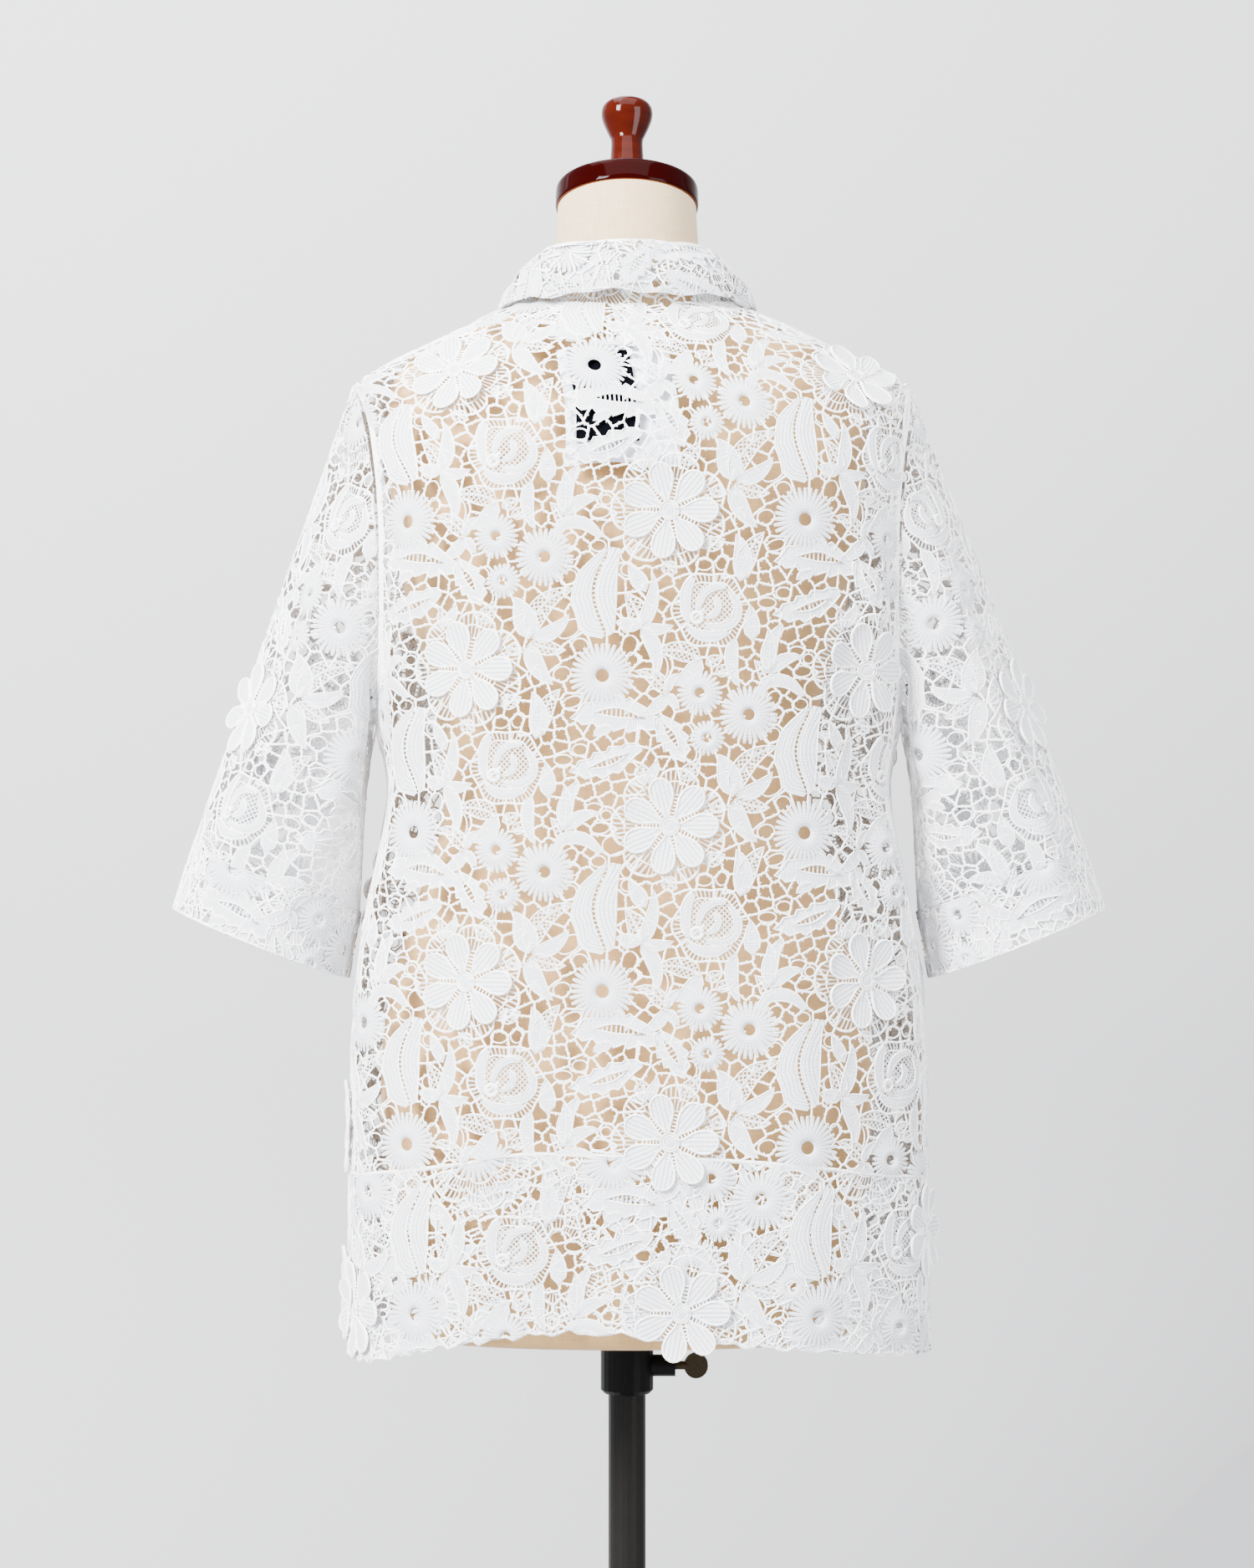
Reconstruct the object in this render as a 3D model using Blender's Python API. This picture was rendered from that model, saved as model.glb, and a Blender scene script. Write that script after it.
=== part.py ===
"""Lace shirt on a limbless dress form with its stand.

Metres, +Z up, origin on the floor under the pole. The wearer would face -Y, so the back is on the +Y side.
Each cloth piece is drawn flat (s across to the right as seen from outside, t down) and laid on the form of
the worn shirt, then given a wall. The lace's largest gaps are cut through each repeat.
"""

import math

import bmesh
import bpy
import numpy as np
from mathutils import Matrix, Vector
from mathutils.geometry import delaunay_2d_cdt

# Driving sizes of the shirt's form
CHEST = 0.187                 # half the width across the chest and shoulders
SHOULDER_Z = 1.451            # top of the shoulder where the neck root ends
NECK_ROOT = 0.088             # half width there
SHOULDER_SLOPE = 0.46
BACK, FRONT = 1, -1
SHOULDER_DROP = {BACK: 0.120, FRONT: 0.190}   # height over which the cloth rounds over the shoulder
LEVEL = 1.132                 # the height where the flat length t is zero
CLOTH_END = 0.700             # lower end of the drawn form, below the hem
SQUARE = 2.6                  # roundness of the shirt's sections, 2 is an ellipse
SWAY = -0.008                 # the shirt hangs this much to one side of the form
SWAY_TOP, SWAY_RUN = 1.432, 0.060   # where that starts, and over which height it grows
STRAIGHT_ABOVE = 1.285        # from this height up the body is as wide as the chest
GRID_STEPS = 120              # steps of the grid that measures a cloth, across and down
GRID_MIDDLE = GRID_STEPS // 2
SLOPE_STEP, LEAST_SLOPE = 1e-3, 1e-2    # step in u or v that finds how fast a length grows, and its least
NORMAL_STEP = 2e-3            # step in u and v that finds the way out
SAME_POINT = 1e-9             # flat points this close are one
HANG_ROW = 80                 # a row of that grid where the body hangs straight
LAY_ROUNDS, LAY_STEP = 25, 0.9      # rounds in which a flat place is found on the form, and their step

# Height, half width: the shirt's side outline below the shoulders
SIDE_OUTLINE = ((1.60, 0.187), (1.285, 0.187), (1.172, 0.176), (1.130, 0.169), (1.050, 0.182),
                (1.000, 0.190), (0.930, 0.194), (0.700, 0.196))
# Height, depth behind the middle, depth in front of it
DEPTHS = ((1.60, 0.118, 0.130), (1.30, 0.118, 0.130), (1.13, 0.120, 0.130), (0.93, 0.125, 0.130),
          (0.748, 0.134, 0.134), (0.70, 0.134, 0.134))

NECKLINE = {BACK: 0.066, FRONT: 0.090}        # how far the neckline lies behind or before the middle
NECKLINE_HALF = 0.075
UNDERARM_Z = 1.172
ARMHOLE_HOLLOW = 0.016        # how far the armhole curves in from the side
ARMHOLE_POINTS = 26

# Flat place across, height: the seam above the hem band and the hem itself, on the back
BACK_SEAM = ((-0.27, 0.867), (-0.19, 0.871), (-0.10, 0.883), (-0.06, 0.890), (0.03, 0.887),
             (0.09, 0.882), (0.15, 0.873), (0.27, 0.864))
BACK_HEM = ((-0.27, 0.748), (-0.18, 0.749), (-0.12, 0.762), (-0.08, 0.770), (-0.04, 0.775),
            (0.05, 0.767), (0.09, 0.763), (0.14, 0.757), (0.27, 0.748))
FRONT_SEAM = ((0.0, 0.876), (0.15, 0.872), (0.27, 0.8665))
FRONT_HEM = ((0.0, 0.757), (0.15, 0.753), (0.27, 0.748))

WALL = 0.0016                 # the lace's wall
DOUBLE_WALL = 0.0022          # hem, cuffs and collar are doubled
SEAM = 0.0003                 # space between pieces that are sewn together
HALF_SEAM = 0.0002

# Folds: flat place of the upper end, of the lower end, height, half width
BACK_FOLDS = ((-0.150, -0.200, -0.178, 0.040, 0.0050, 0.013), (0.152, -0.190, 0.180, 0.060, 0.0060, 0.014),
              (-0.205, 0.010, -0.190, 0.390, 0.0045, 0.020), (-0.085, 0.080, -0.120, 0.390, 0.0035, 0.026),
              (0.010, 0.120, -0.010, 0.390, 0.0030, 0.030), (0.095, 0.060, 0.105, 0.390, 0.0040, 0.024),
              (0.195, 0.000, 0.200, 0.390, 0.0045, 0.020))
FRONT_FOLDS = ((-0.150, -0.190, -0.185, 0.080, 0.0050, 0.014), (0.150, -0.180, 0.182, 0.080, 0.0050, 0.014),
               (-0.200, 0.020, -0.195, 0.390, 0.0040, 0.020), (-0.100, 0.000, -0.110, 0.390, 0.0035, 0.026),
               (0.105, 0.010, 0.120, 0.390, 0.0035, 0.026), (0.200, 0.010, 0.198, 0.390, 0.0040, 0.020))
SLEEVE_FOLDS = ((0.065, 0.075, 0.060, 0.330, 0.0050, 0.012), (0.125, 0.175, 0.110, 0.330, 0.0040, 0.012),
                (-0.060, 0.075, -0.055, 0.330, 0.0040, 0.013), (-0.125, 0.175, -0.112, 0.330, 0.0040, 0.012))
FOLD_RISE = 3                 # a fold reaches its height over a third of its length
FOLD_END, FOLD_FADE = 1.25, 4       # it ends at this share of its length, and fades over a quarter before

# The sleeve: middle and radius of the ring at the cuff seam and at the cuff's end
CUFF_SEAM = (0.247, 1.0685, 0.059)
CUFF_END = (0.2575, 1.024, 0.0625)
CUFF_TILT = math.radians(22)
UNDERARM_TURN = 0.007         # the sleeve turns this far out before it hangs down
UNDERARM_LIFT = 0.0045        # and starts this far above the body's edge
ARMHOLE_STEP = (0.0006, 0.0026)   # step from the body's edge to the sleeve's at the top, and more below
ARMHOLE_TURNS = (0.1, 0.8)    # where that more begins, and over which turn it grows
UNDERARM_SPAN = (1.3, 0.2)    # how sharply the underarm's lift begins round the armhole
UNDERARM_RUN = 0.05           # share of the sleeve over which it turns out
SLEEVE_END_V, CUFF_START_V = 0.997, 1.008   # the sleeve and its cuff lie so far apart at their seam
UNDERARM_ROWS = (0.03, 0.08, 0.16, 0.3, 0.45, 0.6, 0.75, 0.9)
SLEEVE_ROWS = 15
CUFF_COLUMNS, CUFF_ROWS = 32, 3

# The lace's repeat: its two steps across and down, in the flat cloth
STEP_ACROSS = (0.1337, -0.1033)
STEP_DOWN = (0.0, 0.2067)
# Gaps of one repeat, from the middle of the large flower: across, down, half length, half width, turn
GAPS = ((0.0975, -0.0901, 0.0072, 0.0062, 0), (0.0683, -0.0256, 0.0080, 0.0048, -35),
        (-0.0256, 0.0889, 0.0066, 0.0050, -70), (0.0754, -0.0143, 0.0050, 0.0046, 10),
        (0.0464, 0.0064, 0.0054, 0.0033, 90), (0.0636, 0.0041, 0.0054, 0.0044, -15),
        (0.0678, -0.0591, 0.0054, 0.0042, -40), (0.0108, -0.0609, 0.0052, 0.0040, 80),
        (0.0702, 0.0224, 0.0064, 0.0031, -20), (0.0884, 0.1050, 0.0060, 0.0032, -5))
GAP_CORNERS = 4
GAP_MARGIN = 0.0045
REPEAT_REACH = 0.25           # a repeat reaches so far from its large flower at most
REPEATS = (8, 12)             # repeats tried each way, across and down
FLOWER_REACH = 0.0315
FLOWER_PETALS = 7
# Rings of raised points on a flower: radius, height, half a petal's turn
FLOWER_RINGS = ((0.020, 0.0034, 0.0), (0.029, 0.0008, 0.5))
FLOWER_MIDDLE = 0.0030
# Where one large flower's middle lies on each piece
LACE_START = {"back": (-0.114, -0.076), "front": (0.075, -0.030), "sleeve": (0.030, 0.232)}
INNER_STEP = 0.030            # space between the points that carry the cloth's curve
INNER_ROW = 0.87              # their rows lie closer, as the points are staggered
EDGE_CLEAR, GAP_CLEAR, FLOWER_CLEAR = 0.010, 0.013, 0.004   # how far they stay off an edge, gap and flower

# The dress form: height, half width, depth behind, depth in front, roundness, share of the neck's tilt
FORM_SECTIONS = (
    (0.7570, 0.1440, 0.0870, 0.0780, 2.2, 0.0), (0.7595, 0.1505, 0.0935, 0.0845, 2.2, 0.0),
    (0.7660, 0.1525, 0.0955, 0.0860, 2.2, 0.0), (0.8000, 0.1550, 0.0980, 0.0865, 2.2, 0.0),
    (0.8600, 0.1625, 0.1035, 0.0870, 2.2, 0.0), (0.9250, 0.1675, 0.1050, 0.0875, 2.2, 0.0),
    (0.9800, 0.1640, 0.0985, 0.0880, 2.2, 0.0), (1.0500, 0.1440, 0.0800, 0.0890, 2.2, 0.0),
    (1.1250, 0.1235, 0.0680, 0.0940, 2.2, 0.0), (1.1850, 0.1315, 0.0780, 0.1060, 2.2, 0.0),
    (1.2560, 0.1500, 0.0960, 0.1230, 2.2, 0.0), (1.3020, 0.1575, 0.1030, 0.1100, 2.2, 0.0),
    (1.3470, 0.1625, 0.1000, 0.0880, 2.15, 0.0), (1.3750, 0.1630, 0.0890, 0.0740, 2.05, 0.0),
    (1.3950, 0.1620, 0.0770, 0.0660, 2.0, 0.0), (1.4095, 0.1575, 0.0630, 0.0570, 2.0, 0.0),
    (1.4190, 0.1505, 0.0500, 0.0480, 2.0, 0.0), (1.4311, 0.1275, 0.0500, 0.0480, 2.0, 0.0),
    (1.4411, 0.1058, 0.0480, 0.0470, 2.0, 0.0), (1.4495, 0.0870, 0.0490, 0.0490, 2.0, 0.0),
    (1.4530, 0.0775, 0.0495, 0.0500, 2.0, 0.0), (1.4580, 0.0680, 0.0495, 0.0505, 2.0, 0.0),
    (1.4660, 0.0600, 0.0500, 0.0515, 2.0, 0.1), (1.4800, 0.0525, 0.0475, 0.0510, 2.0, 0.4),
    (1.5000, 0.0485, 0.0465, 0.0500, 2.0, 0.7), (1.5233, 0.0472, 0.0455, 0.0480, 2.0, 1.0))
FORM_SIDES = 28
WIDE_SIDES, BAR_SIDES, SLIM_SIDES = 36, 24, 16      # sides of the turned pieces, by width
SHARP_ANGLE = math.radians(40)
NECK_TILT = math.radians(18)

# The neck cap's edge from its lower face to its upper face, and the knob from the cap up: radius, height
CAP_PROFILE = ((0.0, 0.0), (0.0452, 0.0), (0.0480, 0.0012), (0.0488, 0.0040), (0.0487, 0.0138),
               (0.0473, 0.0168), (0.0440, 0.0180), (0.0, 0.0188))
CAP_DEPTH = 0.985             # the cap's depth as a share of its width
CAP_MIDDLE_Y = -0.002
KNOB_PROFILE = ((0.0, 0.0), (0.0160, 0.0), (0.0165, 0.0025), (0.0150, 0.0060), (0.0128, 0.0100),
                (0.0120, 0.0140), (0.0112, 0.0240), (0.0110, 0.0330), (0.0124, 0.0375),
                (0.0151, 0.0437), (0.0170, 0.0490), (0.0177, 0.0535), (0.0170, 0.0577),
                (0.0142, 0.0607), (0.0080, 0.0626), (0.0, 0.0632))

# The stand
POLE_RADIUS = 0.0127
POLE_TOP = 1.230
BORE_RADIUS = 0.0136
BORE_TOP = 1.400
SOCKET_RADIUS = 0.018
SOCKET_TOP, SOCKET_BOTTOM = 0.7567, 0.7170
SCREW_Z = 0.7358
BOSS_RADIUS, BOSS_REACH = 0.0075, 0.0330
SCREW_RADIUS, SCREW_BORE = 0.0030, 0.0034
WING_START, WING_REACH = 0.0388, 0.0553
WING_HALF_HEIGHT, WING_HALF_DEPTH = 0.0088, 0.0020
WING_SIDES = 28
WING_HOLD = 0.002             # the screw's shank ends this far inside the wing
SOCKET_CHAMFER = 0.0025
BOSS_START = 0.0155           # the boss begins inside the socket's wall
CUT_PAST = 0.01               # a cutting bar reaches so far past the face it opens
BASE_RADIUS = 0.170
BASE_PROFILE = ((0.0, 0.0), (BASE_RADIUS, 0.0), (BASE_RADIUS, 0.0060), (0.1680, 0.0080), (0.0330, 0.0105),
                (0.0215, 0.0160), (0.0215, 0.0380), (0.0200, 0.0400), (0.0131, 0.0400),
                (0.0131, 0.0080), (0.0, 0.0080))

# The collar, from the centre back: turn, then the fold's and the edge's place (across, depth, height)
COLLAR_ROWS = ((0, 0.0, 0.0590, 1.4970, 0.0, 0.0780, 1.4595),
               (45, 0.0440, 0.0425, 1.4960, 0.0605, 0.0570, 1.4580),
               (90, 0.0620, 0.0030, 1.4915, 0.0890, 0.0040, 1.4545),
               (125, 0.0495, -0.0370, 1.4790, 0.0815, -0.0480, 1.4490),
               (150, 0.0290, -0.0600, 1.4640, 0.0650, -0.0880, 1.4200),
               (168, 0.0120, -0.0705, 1.4550, 0.0450, -0.1180, 1.3720))
COLLAR_COLUMNS, COLLAR_LINES = 35, 5
STAND_COLUMNS, STAND_LINES = 49, 3
COLLAR_WALL = 0.0018
COLLAR_CROWN = 0.0050         # how far the fall rounds out between fold and edge
STAND_END = 179.0             # the stand's ends meet at the centre front
STAND_DROP = 0.0010           # the stand's upper edge lies so far below the fold's
STAND_LIFT = 0.0019           # the stand's lower edge clears the wall of the neckline

PLACKET_HALF = 0.015
PLACKET_HEIGHT = 0.0026       # clear of the hem bands
PLACKET_TOP, PLACKET_LOW = 0.012, 0.002   # how far its ends lie past the neckline and the hem, in v
FRONT_LEVEL, HEM_LEVEL = 1.1, 0.8   # heights at which the fronts' and hem bands' middle edges are measured
BACK_POINTS, FRONT_POINTS = 25, 14  # points along a level edge of the back and of one front
NECK_POINTS = 8
SIDE_POINTS, MIDDLE_POINTS, BAND_POINTS, PLACKET_POINTS, LABEL_POINTS = 14, 20, 6, 26, 5
BUTTON_RADIUS, BUTTON_THICK = 0.0055, 0.0028
BUTTON_HEIGHTS = (1.385, 1.295, 1.205, 1.115, 1.025)
BUTTON_SIDES = 12
BUTTON_RIM, BUTTON_DISH = 0.85, 0.7   # shares of the radius and of the thickness that the raised rim leaves

# Labels: left, right, top and bottom in the flat back, and the height of the outer face
NECK_LABEL = (-0.0415, 0.0002, 1.4190, 1.3570, -0.0013)
LABEL_BACKING = (-0.0485, 0.0270, 1.4210, 1.3400, -0.0034)
LABEL_WALL = 0.0010


def clear_scene():
    """Remove what the scene holds."""
    for thing in list(bpy.data.objects):
        bpy.data.objects.remove(thing, do_unlink=True)


def make_material(name, colour, roughness, metallic=0.0):
    """A Principled material of one colour."""
    material = bpy.data.materials.new(name)
    material.use_nodes = True
    shader = material.node_tree.nodes["Principled BSDF"]
    shader.inputs["Base Color"].default_value = (*colour, 1.0)
    shader.inputs["Roughness"].default_value = roughness
    shader.inputs["Metallic"].default_value = metallic
    return material


def smooth_row(places, table, column):
    """Values of a table's column at the places, on a smooth curve through its rows without overshoot."""
    rows = np.array(sorted(table), dtype=float)
    xs, ys = rows[:, 0], rows[:, column]
    rises = np.diff(ys) / np.diff(xs)
    slopes = np.concatenate([rises[:1], np.zeros(len(xs) - 2), rises[-1:]])
    same = rises[:-1] * rises[1:] > 0
    total = np.where(same, rises[:-1] + rises[1:], 1.0)
    slopes[1:-1] = np.where(same, 2 * rises[:-1] * rises[1:] / total, 0.0)
    at = np.clip(np.asarray(places, dtype=float), xs[0], xs[-1])
    low = np.clip(np.searchsorted(xs, at, side="right") - 1, 0, len(xs) - 2)
    step = xs[low + 1] - xs[low]
    f = (at - xs[low]) / step
    return ((2 * f**3 - 3 * f**2 + 1) * ys[low] + (f**3 - 2 * f**2 + f) * step * slopes[low]
            + (-2 * f**3 + 3 * f**2) * ys[low + 1] + (f**3 - f**2) * step * slopes[low + 1])


def soft_step(f):
    """0 to 1 with soft ends."""
    f = np.clip(f, 0.0, 1.0)
    return f * f * (3 - 2 * f)


def sway_at(z):
    """How far the shirt hangs to one side at a height."""
    return SWAY * soft_step((SWAY_TOP - z) / SWAY_RUN)


def shoulder_height(x):
    """Height of the shoulder line at a distance from the middle."""
    x = np.abs(x)
    root = SHOULDER_SLOPE * NECK_ROOT / 2
    return np.where(x > NECK_ROOT, SHOULDER_Z - SHOULDER_SLOPE * (x - NECK_ROOT),
                    SHOULDER_Z + root * (1 - (x / NECK_ROOT) ** 2))


def section_shares(u):
    """Shares of the half width and of the depth at u, 0 at the middle and 1 at the side."""
    turn = np.clip(np.abs(u), 0, 1) * math.pi / 2
    return np.sin(turn) ** (2 / SQUARE), np.maximum(np.cos(turn), 0.0) ** (2 / SQUARE)


def body_shape(side):
    """The worn body's form by u, across, and v, down: 0 at the shoulder, 1 where it hangs straight."""
    drop = SHOULDER_DROP[side]

    def shape(u, v):
        width_share, depth_share = section_shares(u)
        chest_x = CHEST * width_share
        turn = np.clip(v, 0, 1) * math.pi / 2
        hang_z = shoulder_height(chest_x) - drop
        z = np.where(v < 1, shoulder_height(chest_x) - drop * (1 - np.cos(turn)),
                     hang_z + (CLOTH_END - hang_z) * (v - 1))
        x = np.where(v < 1, chest_x, smooth_row(z, SIDE_OUTLINE, 1) * width_share)
        depth = smooth_row(z, DEPTHS, 1 if side == BACK else 2)
        y = side * (depth * depth_share * np.sin(turn) + HALF_SEAM)
        return np.stack([-side * np.sign(u) * x + sway_at(z), y, z], axis=-1)

    return shape


def body_width(z):
    """Half the body's width at a height."""
    return np.where(z > STRAIGHT_ABOVE, CHEST, smooth_row(z, SIDE_OUTLINE, 1))


def body_place(side, x, z):
    """u and v of the body's form at a distance from the middle and a height."""
    share = np.clip(np.abs(x) / body_width(z), 0, 1)
    u = np.sign(x) * np.arcsin(share ** (SQUARE / 2)) * 2 / math.pi
    chest_x = CHEST * share
    below = (shoulder_height(chest_x) - z) / SHOULDER_DROP[side]
    hang_z = shoulder_height(chest_x) - SHOULDER_DROP[side]
    v = np.where(below < 1, np.arccos(np.clip(1 - below, -1, 1)) * 2 / math.pi,
                 1 + (hang_z - z) / (hang_z - CLOTH_END))
    return u, v


def lengths_along(points, axis):
    """Length along a grid's rows or columns of points, from its first one on."""
    steps = np.linalg.norm(np.diff(points, axis=axis), axis=2)
    return np.pad(np.cumsum(steps, axis=axis), ((0, 0), (1, 0)) if axis == 1 else ((1, 0), (0, 0)))


class Cloth:
    """Cloth on a form: matches flat lengths (s, t) with the form's own u and v, and gives places in space.
    The length s runs level from the middle, and t down the cloth from one level."""

    def __init__(self, shape, folds, facing=1):
        self.shape = shape
        self.folds = folds
        self.facing = facing
        self.us = np.linspace(-1, 1, GRID_STEPS + 1)
        self.vs = np.linspace(0, 2, GRID_STEPS + 1)
        self.grid = np.meshgrid(self.us, self.vs)
        self.measure(shape(*self.grid))

    def measure(self, points):
        """Find the flat lengths at the grid's points."""
        s = lengths_along(points[..., :2], 1)
        self.s = s - s[:, GRID_MIDDLE:GRID_MIDDLE + 1]
        t = lengths_along(points, 0)
        self.t = t - [np.interp(-LEVEL, -points[:, i, 2], t[:, i]) for i in range(GRID_STEPS + 1)]

    def read(self, table, u, share):
        """A table's value between its grid points, at u and a share of the way down its rows."""
        i = np.clip((np.asarray(u) + 1) / 2, 0, 1) * GRID_STEPS
        j = np.clip(np.asarray(share), 0, 1) * GRID_STEPS
        i0, j0 = np.minimum(i.astype(int), GRID_STEPS - 1), np.minimum(j.astype(int), GRID_STEPS - 1)
        fi, fj = i - i0, j - j0
        return ((table[j0, i0] * (1 - fi) + table[j0, i0 + 1] * fi) * (1 - fj)
                + (table[j0 + 1, i0] * (1 - fi) + table[j0 + 1, i0 + 1] * fi) * fj)

    def slope(self, table, u, share, du, dv):
        """How fast a table's value grows with u or v, never less than a little."""
        ahead, behind = self.read(table, u + du, share + dv / 2), self.read(table, u - du, share - dv / 2)
        return np.maximum((ahead - behind) / (2 * (du + dv)), LEAST_SLOPE)

    def flat(self, u, v):
        """Flat place of the form's u and v."""
        return self.read(self.s, u, np.asarray(v) / 2), self.read(self.t, u, np.asarray(v) / 2)

    def lay(self, s, t):
        """The form's u and v of a flat place."""
        u = np.clip(np.asarray(s, float) / self.s[GRID_MIDDLE, -1], -1, 1)
        v = np.full_like(u, 1.0)
        for _ in range(LAY_ROUNDS):
            s_now, t_now = self.flat(u, v)
            s_slope = self.slope(self.s, u, v / 2, SLOPE_STEP, 0)
            t_slope = self.slope(self.t, u, v / 2, 0, SLOPE_STEP)
            u = np.clip(u + LAY_STEP * (s - s_now) / s_slope, -1, 1)
            v = np.clip(v + LAY_STEP * (t - t_now) / t_slope, 0, 2)
        return u, v

    def normal(self, u, v):
        """Outward direction of the form."""
        small = NORMAL_STEP
        uc, vc = np.clip(u, -1 + small, 1 - small), np.clip(v, small, 2 - small)
        du = self.shape(uc + small, vc) - self.shape(uc - small, vc)
        dv = self.shape(uc, vc + small) - self.shape(uc, vc - small)
        n = self.facing * np.cross(dv, du)
        return n / np.linalg.norm(n, axis=-1, keepdims=True)

    def fold_height(self, u, v):
        """How far the folds stand out."""
        s, t = self.flat(u, v)
        height = np.zeros_like(s)
        for s0, t0, s1, t1, high, half in self.folds:
            f = (t - t0) / (t1 - t0)
            line = s0 + (s1 - s0) * f
            shares = soft_step(f * FOLD_RISE) * soft_step((FOLD_END - f) * FOLD_FADE)
            height += high * np.exp(-((s - line) / half) ** 2) * shares
        return height

    def at(self, u, v, height=0.0):
        """Places in space, so far outside the cloth's inner face."""
        out = np.asarray(self.fold_height(u, v) + height)[..., None]
        return self.shape(u, v) + self.normal(u, v) * out


class TubeCloth(Cloth):
    """Cloth round a sleeve: the length t runs along the sleeve's axis, and s round it from the top line."""

    def __init__(self, shape, folds, axis, facing):
        self.axis = np.array(axis)
        super().__init__(shape, folds, facing)

    def measure(self, points):
        """Find the flat lengths at the grid's points and on rings square to the axis."""
        self.t = points @ self.axis
        self.t -= self.t[0, GRID_MIDDLE]
        self.rings = np.linspace(self.t.min(), self.t.max(), GRID_STEPS + 1)
        self.v = np.stack([np.interp(self.rings, column, self.vs) for column in self.t.T], axis=1)
        s = lengths_along(self.shape(self.grid[0], self.v), 1)
        self.s = s - s[:, GRID_MIDDLE:GRID_MIDDLE + 1]

    def ring_share(self, t):
        """Which ring a length along the axis is on."""
        return (np.asarray(t) - self.rings[0]) / (self.rings[-1] - self.rings[0])

    def flat(self, u, v):
        """Flat place of the form's u and v."""
        t = self.read(self.t, u, np.asarray(v) / 2)
        return self.read(self.s, u, self.ring_share(t)), t

    def lay(self, s, t):
        """The form's u and v of a flat place."""
        share = self.ring_share(t)
        u = np.clip(np.asarray(s, float) / self.s[-1, -1], -1, 1)
        for _ in range(LAY_ROUNDS):
            slope = self.slope(self.s, u, share, SLOPE_STEP, 0)
            u = np.clip(u + LAY_STEP * (s - self.read(self.s, u, share)) / slope, -1, 1)
        return u, self.read(self.v, u, share)


def armhole_edge(side, turns):
    """u and v along one armhole from the shoulder's tip down to the underarm."""
    top = float(shoulder_height(np.array(CHEST)))
    middle, half = (top + UNDERARM_Z) / 2, (top - UNDERARM_Z) / 2
    z = middle + half * np.cos(turns)
    return body_place(side, body_width(z) - ARMHOLE_HOLLOW * np.sin(turns) ** 2, z)


def sleeve_shape(body, hand):
    """One sleeve's form, hand 1 for the wearer's left: u is 0 at the top and 1 at the underarm behind, v is
    0 at the armhole, 1 at the cuff's seam and 2 at its end."""

    def ring(numbers, turn):
        middle_x, middle_z, radius = numbers
        out = middle_x + radius * np.cos(turn) * math.cos(CUFF_TILT)
        return np.stack([hand * out + SWAY, radius * np.sin(turn),
                         middle_z + radius * np.cos(turn) * math.sin(CUFF_TILT)], axis=-1)

    def shape(u, v):
        turn = u * math.pi
        back_u, back_v = armhole_edge(BACK, np.abs(turn))
        front_u, front_v = armhole_edge(FRONT, np.abs(turn))
        edge = np.where((turn >= 0)[..., None], body[BACK].at(-hand * back_u, back_v),
                        body[FRONT].at(hand * front_u, front_v))
        top, low = soft_step(np.cos(turn)), soft_step(-UNDERARM_SPAN[0] * np.cos(turn) - UNDERARM_SPAN[1])
        lower = soft_step((np.abs(turn) - ARMHOLE_TURNS[0]) / ARMHOLE_TURNS[1])
        step = ARMHOLE_STEP[0] + ARMHOLE_STEP[1] * lower
        start = edge + np.stack([hand * step, 0 * turn,
                                 UNDERARM_LIFT * low - ARMHOLE_STEP[0] * top], axis=-1)
        seam_ring, end_ring = ring(CUFF_SEAM, turn), ring(CUFF_END, turn)
        f, g = np.clip(v, 0, 1)[..., None], np.clip(v - 1, 0, 1)[..., None]
        point = start * (1 - f) + seam_ring * f + (end_ring - seam_ring) * g
        f = f[..., 0]
        point[..., 0] += hand * UNDERARM_TURN * low * soft_step(f / UNDERARM_RUN) * (1 - f)
        return point

    return shape


def inside(points, outline):
    """Which points lie inside a closed outline, both in flat lengths."""
    x, y = points[:, 0:1], points[:, 1:2]
    a, b = outline, np.roll(outline, -1, axis=0)
    crosses = (a[:, 1] > y) != (b[:, 1] > y)
    with np.errstate(divide="ignore", invalid="ignore"):
        reach = (b[:, 0] - a[:, 0]) * (y - a[:, 1]) / (b[:, 1] - a[:, 1]) + a[:, 0]
    return (np.sum(crosses & (x < reach), axis=1) % 2) == 1


def edge_distance(points, outline):
    """Distance of points from a closed outline."""
    a, b = outline, np.roll(outline, -1, axis=0)
    along = b - a
    length = np.maximum(np.sum(along**2, axis=1), 1e-12)
    f = np.clip(np.sum((points[:, None] - a) * along, axis=2) / length, 0, 1)
    return np.min(np.linalg.norm(points[:, None] - (a + f[..., None] * along), axis=2), axis=1)


def lace_places(piece, outline):
    """Middles of the repeat's large flowers that reach the outline's box."""
    low, high = outline.min(axis=0) - REPEAT_REACH, outline.max(axis=0) + REPEAT_REACH
    start = np.array(LACE_START[piece])
    places = [start + i * np.array(STEP_ACROSS) + j * np.array(STEP_DOWN)
              for i in range(-REPEATS[0], REPEATS[0] + 1) for j in range(-REPEATS[1], REPEATS[1] + 1)]
    return [p for p in places if np.all(p > low) and np.all(p < high)]


def lace_gaps(piece, outline):
    """The largest gaps of each repeat as flat polygons, where they lie inside the outline."""
    gaps = []
    for place in lace_places(piece, outline):
        for across, down, half_length, half_width, turn in GAPS:
            corners = np.arange(GAP_CORNERS) * 2 * math.pi / GAP_CORNERS
            x, y = half_length * np.cos(corners), half_width * np.sin(corners)
            c, s = math.cos(math.radians(turn)), math.sin(math.radians(turn))
            polygon = place + (across, down) + np.stack([x * c - y * s, x * s + y * c], axis=1)
            if np.all(inside(polygon, outline)) and np.min(edge_distance(polygon, outline)) > GAP_MARGIN:
                gaps.append(polygon)
    return gaps


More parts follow.
